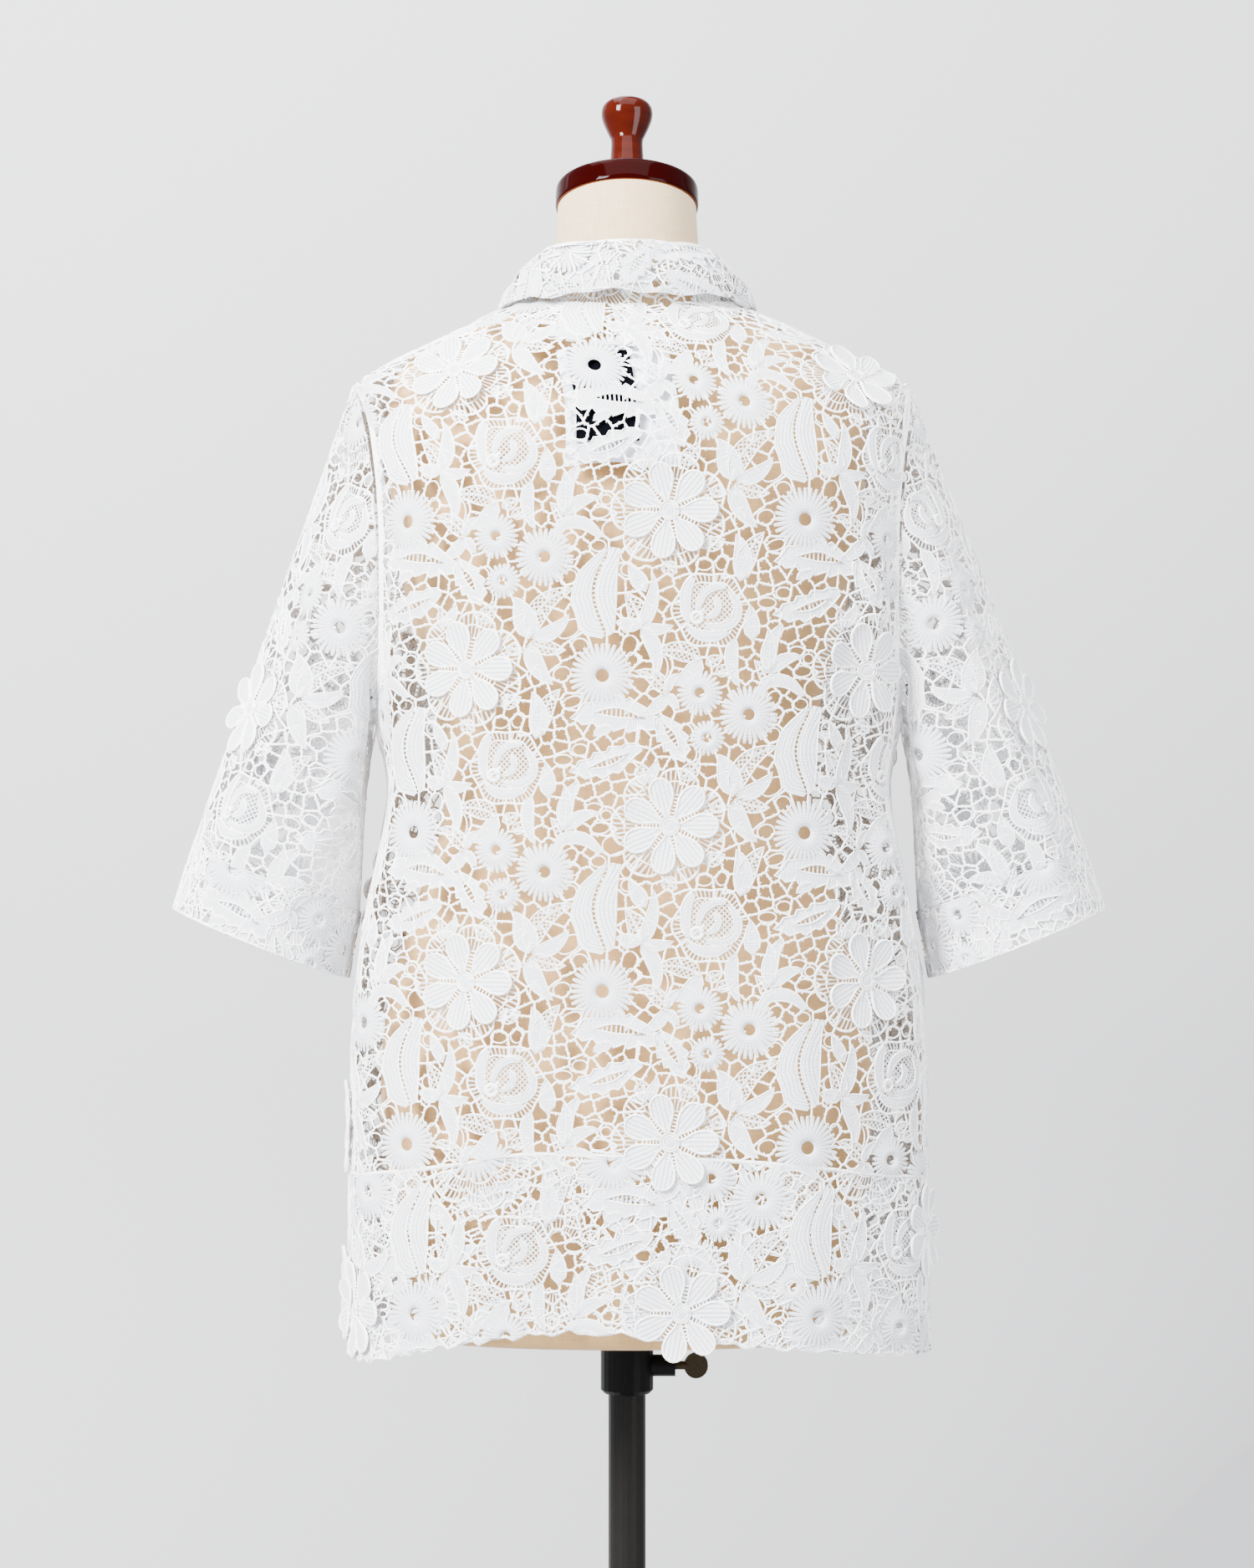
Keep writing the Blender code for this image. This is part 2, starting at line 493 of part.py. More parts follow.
def flower_points(piece, outline):
    """Raised points of the thick flowers that lie whole on the piece: flat place and height."""
    rows = []
    for place in lace_places(piece, outline):
        middle = place[None]
        if inside(middle, outline)[0] and edge_distance(middle, outline)[0] > FLOWER_REACH + GAP_MARGIN:
            rows.append((*place, FLOWER_MIDDLE))
            for radius, height, shift in FLOWER_RINGS:
                for petal in range(FLOWER_PETALS):
                    turn = 2 * math.pi * (petal + shift) / FLOWER_PETALS
                    x, y = place[0] + radius * math.cos(turn), place[1] + radius * math.sin(turn)
                    rows.append((x, y, height))
    return np.array(rows).reshape(-1, 3)


def inner_points(outline, gaps, flowers):
    """Evenly spread points that carry the cloth's curve, clear of edges, gaps and flowers."""
    low, high = outline.min(axis=0), outline.max(axis=0)
    rows = np.arange(low[1], high[1], INNER_STEP * INNER_ROW)
    points = np.array([(x + (j % 2) * INNER_STEP / 2, y) for j, y in enumerate(rows)
                       for x in np.arange(low[0], high[0], INNER_STEP)])
    keep = inside(points, outline) & (edge_distance(points, outline) > EDGE_CLEAR)
    for gap in gaps:
        keep &= np.linalg.norm(points - gap.mean(axis=0), axis=1) > GAP_CLEAR
    for flower in flowers[::1 + FLOWER_PETALS * len(FLOWER_RINGS)]:
        keep &= np.linalg.norm(points - flower[:2], axis=1) > FLOWER_REACH + FLOWER_CLEAR
    return points[keep]


def make_object(name, vertices, faces, material, smooth=False):
    """An object from vertices and faces, with its faces pointing out."""
    mesh = bpy.data.meshes.new(name)
    mesh.from_pydata([tuple(map(float, v)) for v in vertices], [], [tuple(map(int, f)) for f in faces])
    bm = bmesh.new()
    bm.from_mesh(mesh)
    bmesh.ops.recalc_face_normals(bm, faces=bm.faces)
    if bm.calc_volume(signed=True) < 0:
        bmesh.ops.reverse_faces(bm, faces=bm.faces)
    bm.to_mesh(mesh)
    bm.free()
    mesh.materials.append(material)
    if smooth:
        mesh.shade_smooth()
        mesh.set_sharp_from_angle(angle=SHARP_ANGLE)
    thing = bpy.data.objects.new(name, mesh)
    bpy.context.collection.objects.link(thing)
    return thing


def make_flat_piece(name, cloth, outline_uv, material, wall, height=0.0, lace=None, shift_y=0.0):
    """A cut piece as a wall on its cloth, with the lace's gaps and flowers where lace names the repeat.
    Gives the number of its gaps."""
    outline_uv = np.array(outline_uv)
    outline = np.stack(cloth.flat(outline_uv[:, 0], outline_uv[:, 1]), axis=1)
    gaps = lace_gaps(lace, outline) if lace else []
    flowers = flower_points(lace, outline) if lace else np.zeros((0, 3))
    spread = inner_points(outline, gaps, flowers)
    flat = np.concatenate([outline, *gaps, flowers[:, :2], spread])
    edges, start = [], 0
    for loop in (outline, *gaps):
        edges += [(start + i, start + (i + 1) % len(loop)) for i in range(len(loop))]
        start += len(loop)
    result = delaunay_2d_cdt([Vector(p) for p in flat], edges, [], 0, SAME_POINT)
    triangles = np.array(result[2])
    if len(result[0]) != len(flat):
        crossings = [tuple(round(c, 4) for c in p) for p, source in zip(result[0], result[3])
                     if len(source) != 1]
        raise ValueError(f"{name}: the outline crosses or touches itself at {crossings}")
    middles = np.array([tuple(v) for v in result[0]])[triangles].mean(axis=1)
    order = [source[0] for source in result[3]]
    keep = inside(middles, outline)
    for gap in gaps:
        keep &= ~inside(middles, gap)
    triangles = np.array(order)[triangles[keep]]
    rest_u, rest_v = cloth.lay(flat[len(outline):, 0], flat[len(outline):, 1])
    u = np.concatenate([outline_uv[:, 0], rest_u])
    v = np.concatenate([outline_uv[:, 1], rest_v])
    raised = np.zeros(len(flat))
    first = len(outline) + sum(len(g) for g in gaps)
    raised[first:first + len(flowers)] = flowers[:, 2]
    inner = cloth.at(u, v, height)
    outer = cloth.at(u, v, height + wall + raised)
    count = len(flat)
    faces = [tuple(t) for t in triangles] + [tuple(count + i for i in t[::-1]) for t in triangles]
    sides = {}
    for a, b, c in triangles:
        for edge in ((a, b), (b, c), (c, a)):
            sides[edge] = sides.get((edge[1], edge[0])) is None
            if not sides[edge]:
                sides[(edge[1], edge[0])] = False
    faces += [(b, a, count + a, count + b) for (a, b), open_edge in sides.items() if open_edge]
    make_object(name, np.concatenate([inner, outer]) + (0, shift_y, 0), faces, material)
    return len(gaps)


def make_ring_wall(name, inner, outer, closed, material):
    """A wall between two grids of points [down, around], a tube where closed."""
    rows, columns = inner.shape[:2]
    count = rows * columns
    faces = []
    for j in range(rows - 1):
        for i in range(columns if closed else columns - 1):
            k = (i + 1) % columns
            a, b, c, d = j * columns + i, j * columns + k, (j + 1) * columns + k, (j + 1) * columns + i
            faces += [(a, b, c, d), (count + d, count + c, count + b, count + a)]
    for i in range(columns if closed else columns - 1):
        k = (i + 1) % columns
        low = (rows - 1) * columns
        faces += [(k, i, count + i, count + k), (low + i, low + k, count + low + k, count + low + i)]
    if not closed:
        for j in range(rows - 1):
            a, d = j * columns, (j + 1) * columns
            b, c = a + columns - 1, d + columns - 1
            faces += [(a, d, count + d, count + a), (c, b, count + b, count + c)]
    return make_object(name, np.concatenate([inner.reshape(-1, 3), outer.reshape(-1, 3)]), faces, material)


def make_turned(name, profile, material, sides):
    """A solid turned about Z from its outline, which starts and ends on the axis."""
    vertices, faces, rings = [], [], []
    turns = [2 * math.pi * i / sides for i in range(sides)]
    for radius, z in profile:
        if radius == 0:
            rings.append([len(vertices)])
            vertices.append((0, 0, z))
        else:
            rings.append(list(range(len(vertices), len(vertices) + sides)))
            vertices += [(radius * math.cos(turn), radius * math.sin(turn), z) for turn in turns]
    for low, high in zip(rings, rings[1:]):
        for i in range(sides):
            k = (i + 1) % sides
            if len(low) == 1:
                faces.append((low[0], high[k], high[i]))
            elif len(high) == 1:
                faces.append((low[i], low[k], high[0]))
            else:
                faces.append((low[i], low[k], high[k], high[i]))
    return make_object(name, vertices, faces, material, smooth=True)


def place_on(thing, point, direction):
    """Stand a solid on a point, its Z along a direction."""
    turn = Vector(direction).to_track_quat("Z", "Y")
    thing.matrix_world = Matrix.Translation(Vector(point)) @ turn.to_matrix().to_4x4()


def make_cylinder(name, radius, start, end, material, sides=BAR_SIDES):
    """A straight round bar between two points."""
    start, end = Vector(start), Vector(end)
    length = (end - start).length
    thing = make_turned(name, ((0, 0), (radius, 0), (radius, length), (0, length)), material, sides)
    place_on(thing, start, end - start)
    return thing


def cut_with(thing, cutter, operation="DIFFERENCE"):
    """Cut or join a solid with another, which then only guides."""
    cutter.hide_render = True
    cutter.display_type = "WIRE"
    modifier = thing.modifiers.new(operation.title(), "BOOLEAN")
    modifier.operation = operation
    modifier.solver = "EXACT"
    modifier.object = cutter


def body_half(side):
    """Neckline, shoulder and armhole of half the body, from the middle of the neck to the underarm."""
    turns = np.radians(np.linspace(0, 90, NECK_POINTS))
    neck = neckline_place(side, turns)
    shoulder = [tuple(map(float, body_place(side, np.array(x), shoulder_height(np.array(x)))))
                for x in np.linspace(NECKLINE_HALF, CHEST, NECK_POINTS)[1:-1]]
    arm_u, arm_v = armhole_edge(side, np.linspace(0, math.pi, ARMHOLE_POINTS))
    return list(zip(*neck)) + shoulder + list(zip(arm_u, arm_v))


def neckline_place(side, turns):
    """u and v along the neckline, from the middle at 0 to the shoulder at a right angle."""
    x, y = NECKLINE_HALF * np.sin(turns), NECKLINE[side] * np.cos(turns)
    u = np.arcsin((x / CHEST) ** (SQUARE / 2)) * 2 / math.pi
    depth = DEPTHS[0][1 if side == BACK else 2] * section_shares(u)[1]
    return u, np.arcsin(np.clip(y / depth, 0, 1)) * 2 / math.pi


def level_edge(cloth, side, table, u_from, u_to, count, lower=0.0):
    """A level edge across the body at the heights of a table, so much lower."""
    us = np.linspace(u_from, u_to, count)
    across = np.interp(np.abs(us), cloth.us[GRID_MIDDLE:], cloth.s[HANG_ROW, GRID_MIDDLE:]) * np.sign(us)
    z = smooth_row(across if side == BACK else np.abs(across), table, 1) - lower
    hang_z = shoulder_height(CHEST * section_shares(us)[0]) - SHOULDER_DROP[side]
    return list(zip(us, 1 + (hang_z - z) / (hang_z - CLOTH_END)))


def run(start, end, count):
    """Points between two corners of an outline, without the corners."""
    return list(zip(np.linspace(start[0], end[0], count)[1:-1], np.linspace(start[1], end[1], count)[1:-1]))


def back_outline(cloth):
    """Outline of the back from the neck to the hem band's seam."""
    half = body_half(BACK)
    other = [(-u, v) for u, v in half[::-1]]
    seam = level_edge(cloth, BACK, BACK_SEAM, 1, -1, BACK_POINTS)
    sides = run(half[-1], seam[0], SIDE_POINTS), run(seam[-1], other[0], SIDE_POINTS)
    return half + sides[0] + seam + sides[1] + other[:-1]


def front_outline(cloth, hand):
    """Outline of one front, hand 1 for the wearer's left."""
    middle_u = float(body_place(FRONT, np.array(HALF_SEAM), np.array(FRONT_LEVEL))[0])
    half = body_half(FRONT)
    half[0] = (middle_u, half[0][1])
    seam = level_edge(cloth, FRONT, FRONT_SEAM, 1, middle_u, FRONT_POINTS)
    outline = half + run(half[-1], seam[0], SIDE_POINTS) + seam + run(seam[-1], half[0], MIDDLE_POINTS)
    return [(hand * u, v) for u, v in outline]


def band_outline(cloth, side, tables, u_from, u_to, count):
    """Outline of a hem band between its seam and the hem."""
    top = level_edge(cloth, side, tables[0], u_from, u_to, count, SEAM)
    low = level_edge(cloth, side, tables[1], u_to, u_from, count)
    return top + run(top[-1], low[0], BAND_POINTS) + low + run(low[-1], top[0], BAND_POINTS)


def make_shirt_body(body, material):
    """Back, fronts, hem bands and placket. Gives the number of gaps cut."""
    middle_u = float(body_place(FRONT, np.array(HALF_SEAM), np.array(HEM_LEVEL))[0])
    back, front = body[BACK], body[FRONT]
    cut = make_flat_piece("back", back, back_outline(back), material, WALL, lace="back")
    band = band_outline(back, BACK, (BACK_SEAM, BACK_HEM), -1, 1, BACK_POINTS)
    make_flat_piece("hem_back", back, band, material, DOUBLE_WALL)
    for name, hand in (("left", 1), ("right", -1)):
        outline = front_outline(front, hand)
        cut += make_flat_piece(f"front_{name}", front, outline, material, WALL, lace="front")
        band = band_outline(front, FRONT, (FRONT_SEAM, FRONT_HEM), hand * middle_u, hand, FRONT_POINTS)
        make_flat_piece(f"hem_{name}", front, band, material, DOUBLE_WALL)
    side_u = float(body_place(FRONT, np.array(PLACKET_HALF), np.array(FRONT_LEVEL))[0])
    top_v = float(neckline_place(FRONT, np.array(0.0))[1]) + PLACKET_TOP
    low_v = level_edge(front, FRONT, FRONT_HEM, side_u, side_u, 1)[0][1] - PLACKET_LOW
    corners = [(-side_u, top_v), (side_u, top_v), (side_u, low_v), (-side_u, low_v)]
    strip = (corners[:2] + run(corners[1], corners[2], PLACKET_POINTS) + corners[2:]
             + run(corners[3], corners[0], PLACKET_POINTS))
    make_flat_piece("placket", front, strip, material, DOUBLE_WALL, height=PLACKET_HEIGHT)
    return cut


def make_sleeves(body, material):
    """Each sleeve as a back and a front half, and its cuff. Gives the number of gaps cut."""
    cut = 0
    for hand, name in ((1, "left"), (-1, "right")):
        axis = (hand * math.sin(CUFF_TILT), 0, -math.cos(CUFF_TILT))
        sleeve = TubeCloth(sleeve_shape(body, hand), SLEEVE_FOLDS, axis, hand)
        for half, half_name in ((1, "back"), (-1, "front")):
            corners = [(0.0, 0.0), (half, 0.0), (half, SLEEVE_END_V), (0.0, SLEEVE_END_V)]
            outline = (corners[:1] + run(corners[0], corners[1], ARMHOLE_POINTS) + corners[1:2]
                       + [(half, v) for v in UNDERARM_ROWS]
                       + corners[2:3] + run(corners[2], corners[3], SLEEVE_ROWS) + corners[3:]
                       + run(corners[3], corners[0], SLEEVE_ROWS))
            cut += make_flat_piece(f"sleeve_{name}_{half_name}", sleeve, outline, material, WALL,
                                   lace="sleeve", shift_y=half * HALF_SEAM)
        grid_u, grid_v = np.meshgrid(np.linspace(-1, 1, CUFF_COLUMNS + 1)[:-1],
                                     np.linspace(CUFF_START_V, 2, CUFF_ROWS))
        outer = sleeve.at(grid_u, grid_v, DOUBLE_WALL)
        make_ring_wall(f"cuff_{name}", sleeve.at(grid_u, grid_v), outer, True, material)
    return cut


def collar_curve(turns, first):
    """The collar's fold, first 1, or its edge, first 4, at turns from the centre back."""
    rows = [tuple(row) for row in COLLAR_ROWS]
    other = [(-row[0], -row[1], *row[2:4], -row[4], *row[5:]) for row in rows[1:]]
    return np.stack([smooth_row(turns, rows + other, first + k) for k in range(3)], axis=-1)


def grid_normals(points):
    """Outward directions of a grid of points [down, around]."""
    n = np.cross(np.gradient(points, axis=0), np.gradient(points, axis=1))
    n /= np.linalg.norm(n, axis=-1, keepdims=True)
    middle = points.mean(axis=(0, 1))
    return n * np.sign(np.sum(n * (points - middle)))


def level_out(points):
    """Level outward directions along a curve round the neck."""
    out = np.stack([np.gradient(points[:, 1]), -np.gradient(points[:, 0]), 0 * points[:, 0]], axis=1)
    out /= np.linalg.norm(out, axis=1, keepdims=True)
    return out * np.sign(np.sum(out * (points - points.mean(axis=0)), axis=1, keepdims=True))


def make_collar(body, material):
    """The stand round the neck and the fall over it. Gives a point and the way out on the stand's front."""
    turns = np.linspace(-COLLAR_ROWS[-1][0], COLLAR_ROWS[-1][0], COLLAR_COLUMNS)
    fold, edge = collar_curve(turns, 1), collar_curve(turns, 4)
    w = np.linspace(0, 1, COLLAR_LINES)[:, None, None]
    fall = fold * (1 - w) + edge * w + COLLAR_CROWN * 4 * w * (1 - w) * level_out(fold)
    make_ring_wall("collar_fall", fall, fall + COLLAR_WALL * grid_normals(fall), False, material)
    turns = np.linspace(-STAND_END, STAND_END, STAND_COLUMNS)
    top = collar_curve(turns, 1)
    share = np.clip((np.abs(turns) - COLLAR_ROWS[-1][0]) / (180 - COLLAR_ROWS[-1][0]), 0, 1)
    top[:, 0] *= 1 - share
    top += (COLLAR_WALL + 2 * SEAM) * -level_out(top) - (0, 0, STAND_DROP)
    seam = []
    for turn in turns:
        side = BACK if abs(turn) <= 90 else FRONT
        u, v = neckline_place(side, np.radians(abs(turn) if side == BACK else 180 - abs(turn)))
        seam.append(body[side].at(-side * np.sign(turn) * u, v))
    seam = np.array(seam) + (0, 0, STAND_LIFT)
    w = np.linspace(0, 1, STAND_LINES)[:, None, None]
    stand = top * (1 - w) + seam * w
    way_out = grid_normals(stand)
    outer = stand + COLLAR_WALL * way_out
    make_ring_wall("collar_stand", stand, outer, False, material)
    return (outer[1, 0] + outer[1, -1]) / 2, way_out[1, 0] + way_out[1, -1]


def make_buttons(body, stand_point, stand_direction, material):
    """Buttons down the placket and one on the collar's stand."""
    dish = BUTTON_THICK * BUTTON_DISH
    profile = ((0.0, 0.0), (BUTTON_RADIUS, 0.0), (BUTTON_RADIUS, dish),
               (BUTTON_RADIUS * BUTTON_RIM, BUTTON_THICK), (0.0, dish))
    cloth = body[FRONT]
    for number, z in enumerate(BUTTON_HEIGHTS, 1):
        u, v = body_place(FRONT, np.array(0.0), np.array(z))
        button = make_turned(f"button_{number}", profile, material, BUTTON_SIDES)
        place_on(button, cloth.at(u, v, PLACKET_HEIGHT + DOUBLE_WALL + SEAM), cloth.normal(u, v))
    direction = np.array([0.0, stand_direction[1], stand_direction[2]])
    direction /= np.linalg.norm(direction)
    button = make_turned(f"button_{len(BUTTON_HEIGHTS) + 1}", profile, material, BUTTON_SIDES)
    place_on(button, np.array([0.0, stand_point[1], stand_point[2]]) + SEAM * 2 * direction, direction)


def make_labels(cloth, dark, pale):
    """The bare neck label and its backing, inside the back."""
    for name, (left, right, top_z, low_z, face), material in (("neck_label", NECK_LABEL, dark),
                                                              ("label_backing", LABEL_BACKING, pale)):
        corners = []
        for x, z in ((left, top_z), (right, top_z), (right, low_z), (left, low_z)):
            u, v = body_place(BACK, np.array(abs(x)), np.array(z))
            corners.append((math.copysign(float(u), x), float(v)))
        outline = []
        for start, end in zip(corners, corners[1:] + corners[:1]):
            outline += [start] + run(start, end, LABEL_POINTS)
        make_flat_piece(name, cloth, outline, material, LABEL_WALL, height=face - LABEL_WALL)


def make_torso(material):
    """The limbless form from its sections, with the pole's bore."""
    vertices, faces = [], []
    turns = np.arange(FORM_SIDES) * 2 * math.pi / FORM_SIDES
    for z, half_width, behind, before, roundness, tilt in FORM_SECTIONS:
        c, s = np.cos(turns), np.sin(turns)
        x = half_width * np.sign(s) * np.abs(s) ** (2 / roundness)
        y = np.where(c > 0, behind, before) * np.sign(c) * np.abs(c) ** (2 / roundness)
        vertices += list(zip(x, y, z + tilt * math.tan(NECK_TILT) * y))
    for j in range(len(FORM_SECTIONS) - 1):
        for i in range(FORM_SIDES):
            k = (i + 1) % FORM_SIDES
            low, high = j * FORM_SIDES, (j + 1) * FORM_SIDES
            faces.append((low + i, low + k, high + k, high + i))
    faces += [tuple(range(FORM_SIDES)), tuple(range(len(vertices) - FORM_SIDES, len(vertices)))]
    torso = make_object("torso", vertices, faces, material, smooth=True)
    cut_with(torso, make_cylinder("pole_bore_guide", BORE_RADIUS, (0, 0, FORM_SECTIONS[0][0] - CUT_PAST),
                                  (0, 0, BORE_TOP), material))


def make_neck_cap(material):
    """The turned cap on the neck and its knob."""
    tilt = Matrix.Rotation(NECK_TILT, 4, "X")
    rim_z = FORM_SECTIONS[-1][0] + math.tan(NECK_TILT) * CAP_MIDDLE_Y + SEAM / math.cos(NECK_TILT)
    rim = Matrix.Translation((0, CAP_MIDDLE_Y, rim_z)) @ tilt
    cap = make_turned("neck_cap", CAP_PROFILE, material, WIDE_SIDES)
    cap.matrix_world = rim @ Matrix.Diagonal((1, CAP_DEPTH, 1, 1))
    knob = make_turned("cap_knob", KNOB_PROFILE, material, SLIM_SIDES)
    knob.matrix_world = rim @ Matrix.Translation((0, 0, CAP_PROFILE[-1][1] + SEAM))


def make_stand(steel, black, bronze):
    """Base, pole, socket and clamp screw."""
    make_turned("base_plate", BASE_PROFILE, steel, WIDE_SIDES)
    make_cylinder("pole", POLE_RADIUS, (0, 0, BASE_PROFILE[-1][1] + SEAM), (0, 0, POLE_TOP), steel)
    profile = ((0.0, SOCKET_BOTTOM), (SOCKET_RADIUS - SOCKET_CHAMFER, SOCKET_BOTTOM),
               (SOCKET_RADIUS, SOCKET_BOTTOM + SOCKET_CHAMFER), (SOCKET_RADIUS, SOCKET_TOP),
               (0.0, SOCKET_TOP))
    socket = make_turned("socket", profile, black, BAR_SIDES)
    cut_with(socket, make_cylinder("boss_guide", BOSS_RADIUS, (-BOSS_START, 0, SCREW_Z),
                                   (-BOSS_REACH, 0, SCREW_Z), black), "UNION")
    cut_with(socket, make_cylinder("socket_bore_guide", BORE_RADIUS, (0, 0, SOCKET_BOTTOM - CUT_PAST),
                                   (0, 0, SOCKET_TOP + CUT_PAST), black))
    cut_with(socket, make_cylinder("screw_bore_guide", SCREW_BORE, (0, 0, SCREW_Z),
                                   (-BOSS_REACH - CUT_PAST, 0, SCREW_Z), black, SLIM_SIDES))
    screw = make_cylinder("clamp_screw", SCREW_RADIUS, (-POLE_RADIUS - SEAM, 0, SCREW_Z),
                          (-WING_START - WING_HOLD, 0, SCREW_Z), bronze, SLIM_SIDES)
    middle, half = -(WING_START + WING_REACH) / 2, (WING_REACH - WING_START) / 2
    turns = np.arange(WING_SIDES) * 2 * math.pi / WING_SIDES
    heights = SCREW_Z + WING_HALF_HEIGHT * np.sin(turns)
    rim = np.stack([middle + half * np.cos(turns), 0 * turns, heights], axis=1)
    vertices = np.concatenate([rim - (0, WING_HALF_DEPTH, 0), rim + (0, WING_HALF_DEPTH, 0)])
    faces = [(i, (i + 1) % WING_SIDES, WING_SIDES + (i + 1) % WING_SIDES, WING_SIDES + i)
             for i in range(WING_SIDES)]
    faces += [tuple(range(WING_SIDES)), tuple(range(WING_SIDES, 2 * WING_SIDES))]
    wing = make_object("wing_guide", vertices, faces, bronze)
    cut_with(screw, wing, "UNION")


def hang_on_slide():
    """Hang all that slides on the pole from one empty on the pole's axis."""
    slide = bpy.data.objects.new("height_slide", None)
    slide.location = (0, 0, SOCKET_BOTTOM)
    bpy.context.collection.objects.link(slide)
    bpy.context.view_layer.update()
    for thing in list(bpy.data.objects):
        if thing is not slide and thing.name not in ("base_plate", "pole"):
            thing.parent = slide
            thing.matrix_parent_inverse = slide.matrix_world.inverted()


def main():
    """Build every piece."""
    clear_scene()
    lace = make_material("white lace", (0.90, 0.91, 0.93), 0.75)
    linen = make_material("linen", (0.80, 0.68, 0.52), 0.85)
    wood = make_material("dark wood", (0.10, 0.012, 0.010), 0.22)
    steel = make_material("charcoal steel", (0.042, 0.040, 0.037), 0.45, 0.6)
    black = make_material("black enamel", (0.008, 0.008, 0.009), 0.35)
    bronze = make_material("dark bronze", (0.16, 0.11, 0.07), 0.40, 0.9)
    button_white = make_material("button", (0.88, 0.88, 0.86), 0.30)
    label_black = make_material("label black", (0.006, 0.006, 0.008), 0.80)
    label_white = make_material("label white", (0.82, 0.84, 0.90), 0.70)
    body = {BACK: Cloth(body_shape(BACK), BACK_FOLDS), FRONT: Cloth(body_shape(FRONT), FRONT_FOLDS)}
    cut = make_shirt_body(body, lace) + make_sleeves(body, lace)
    print("gaps cut through the lace:", cut)
    make_buttons(body, *make_collar(body, lace), button_white)
    make_labels(body[BACK], label_black, label_white)
    make_torso(linen)
    make_neck_cap(wood)
    make_stand(steel, black, bronze)
    hang_on_slide()


main()
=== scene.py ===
"""Lace shirt on its limbless dress form, seen from behind in a pale studio.

Places in space are in metres. One repeat of the lace is charted flat in millimetres: x across to the right as
seen from outside, y down, from the middle of the large flower, and a height out of the cloth.
"""

import math

import bpy
import numpy as np
from mathutils import Matrix, Vector
from mathutils.geometry import delaunay_2d_cdt


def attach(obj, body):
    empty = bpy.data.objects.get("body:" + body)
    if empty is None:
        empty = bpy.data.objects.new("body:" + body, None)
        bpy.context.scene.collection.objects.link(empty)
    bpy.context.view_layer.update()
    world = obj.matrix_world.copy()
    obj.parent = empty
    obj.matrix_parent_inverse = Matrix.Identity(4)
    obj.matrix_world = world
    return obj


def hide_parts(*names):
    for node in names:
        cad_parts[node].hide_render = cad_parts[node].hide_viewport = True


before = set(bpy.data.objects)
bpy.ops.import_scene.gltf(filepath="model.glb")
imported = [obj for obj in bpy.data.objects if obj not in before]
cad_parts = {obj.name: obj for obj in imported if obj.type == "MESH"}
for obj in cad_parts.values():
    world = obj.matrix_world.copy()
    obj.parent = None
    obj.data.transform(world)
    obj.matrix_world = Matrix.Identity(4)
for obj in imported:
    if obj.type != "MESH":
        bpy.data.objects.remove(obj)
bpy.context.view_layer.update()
MM = 0.001

# Driving sizes of the shirt's form
CHEST = 0.187                 # half the width across the chest and shoulders
SHOULDER_Z = 1.451            # top of the shoulder where the neck root ends
NECK_ROOT = 0.088             # half width there
SHOULDER_SLOPE = 0.46
BACK, FRONT = 1, -1
SHOULDER_DROP = {BACK: 0.120, FRONT: 0.190}   # height over which the cloth rounds over the shoulder
LEVEL = 1.132                 # the height where the flat length t is zero
CLOTH_END = 0.700             # lower end of the drawn form, below the hem
SQUARE = 2.6                  # roundness of the shirt's sections, 2 is an ellipse
SWAY = -0.008                 # the shirt hangs this much to one side of the form
SWAY_TOP, SWAY_RUN = 1.432, 0.060   # where that starts, and over which height it grows
STRAIGHT_ABOVE = 1.285        # from this height up the body is as wide as the chest
GRID_STEPS = 120              # steps of the grid that measures a cloth, across and down
GRID_MIDDLE = GRID_STEPS // 2
SLOPE_STEP, LEAST_SLOPE = 1e-3, 1e-2    # step in u or v that finds how fast a length grows, and its least
NORMAL_STEP = 2e-3            # step in u and v that finds the way out
HANG_ROW = 80                 # a row of that grid where the body hangs straight
LAY_ROUNDS, LAY_STEP = 25, 0.9      # rounds in which a flat place is found on the form, and their step

# Height, half width: the shirt's side outline below the shoulders
SIDE_OUTLINE = ((1.60, 0.187), (1.285, 0.187), (1.172, 0.176), (1.130, 0.169), (1.050, 0.182),
                (1.000, 0.190), (0.930, 0.194), (0.700, 0.196))
# Height, depth behind the middle, depth in front of it
DEPTHS = ((1.60, 0.118, 0.130), (1.30, 0.118, 0.130), (1.13, 0.120, 0.130), (0.93, 0.125, 0.130),
          (0.748, 0.134, 0.134), (0.70, 0.134, 0.134))

NECKLINE = {BACK: 0.066, FRONT: 0.090}        # how far the neckline lies behind or before the middle
NECKLINE_HALF = 0.075
UNDERARM_Z = 1.172
ARMHOLE_HOLLOW = 0.016        # how far the armhole curves in from the side
ARMHOLE_POINTS = 26

# Flat place across, height: the seam above the hem band and the hem itself, on the back
BACK_SEAM = ((-0.27, 0.867), (-0.19, 0.871), (-0.10, 0.883), (-0.06, 0.890), (0.03, 0.887),
             (0.09, 0.882), (0.15, 0.873), (0.27, 0.864))
BACK_HEM = ((-0.27, 0.748), (-0.18, 0.749), (-0.12, 0.762), (-0.08, 0.770), (-0.04, 0.775),
            (0.05, 0.767), (0.09, 0.763), (0.14, 0.757), (0.27, 0.748))
FRONT_SEAM = ((0.0, 0.876), (0.15, 0.872), (0.27, 0.8665))
FRONT_HEM = ((0.0, 0.757), (0.15, 0.753), (0.27, 0.748))

SEAM = 0.0003                 # pieces stand this far apart where they are sewn
HALF_SEAM = 0.0002            # and the back and the fronts this far from the plane between them

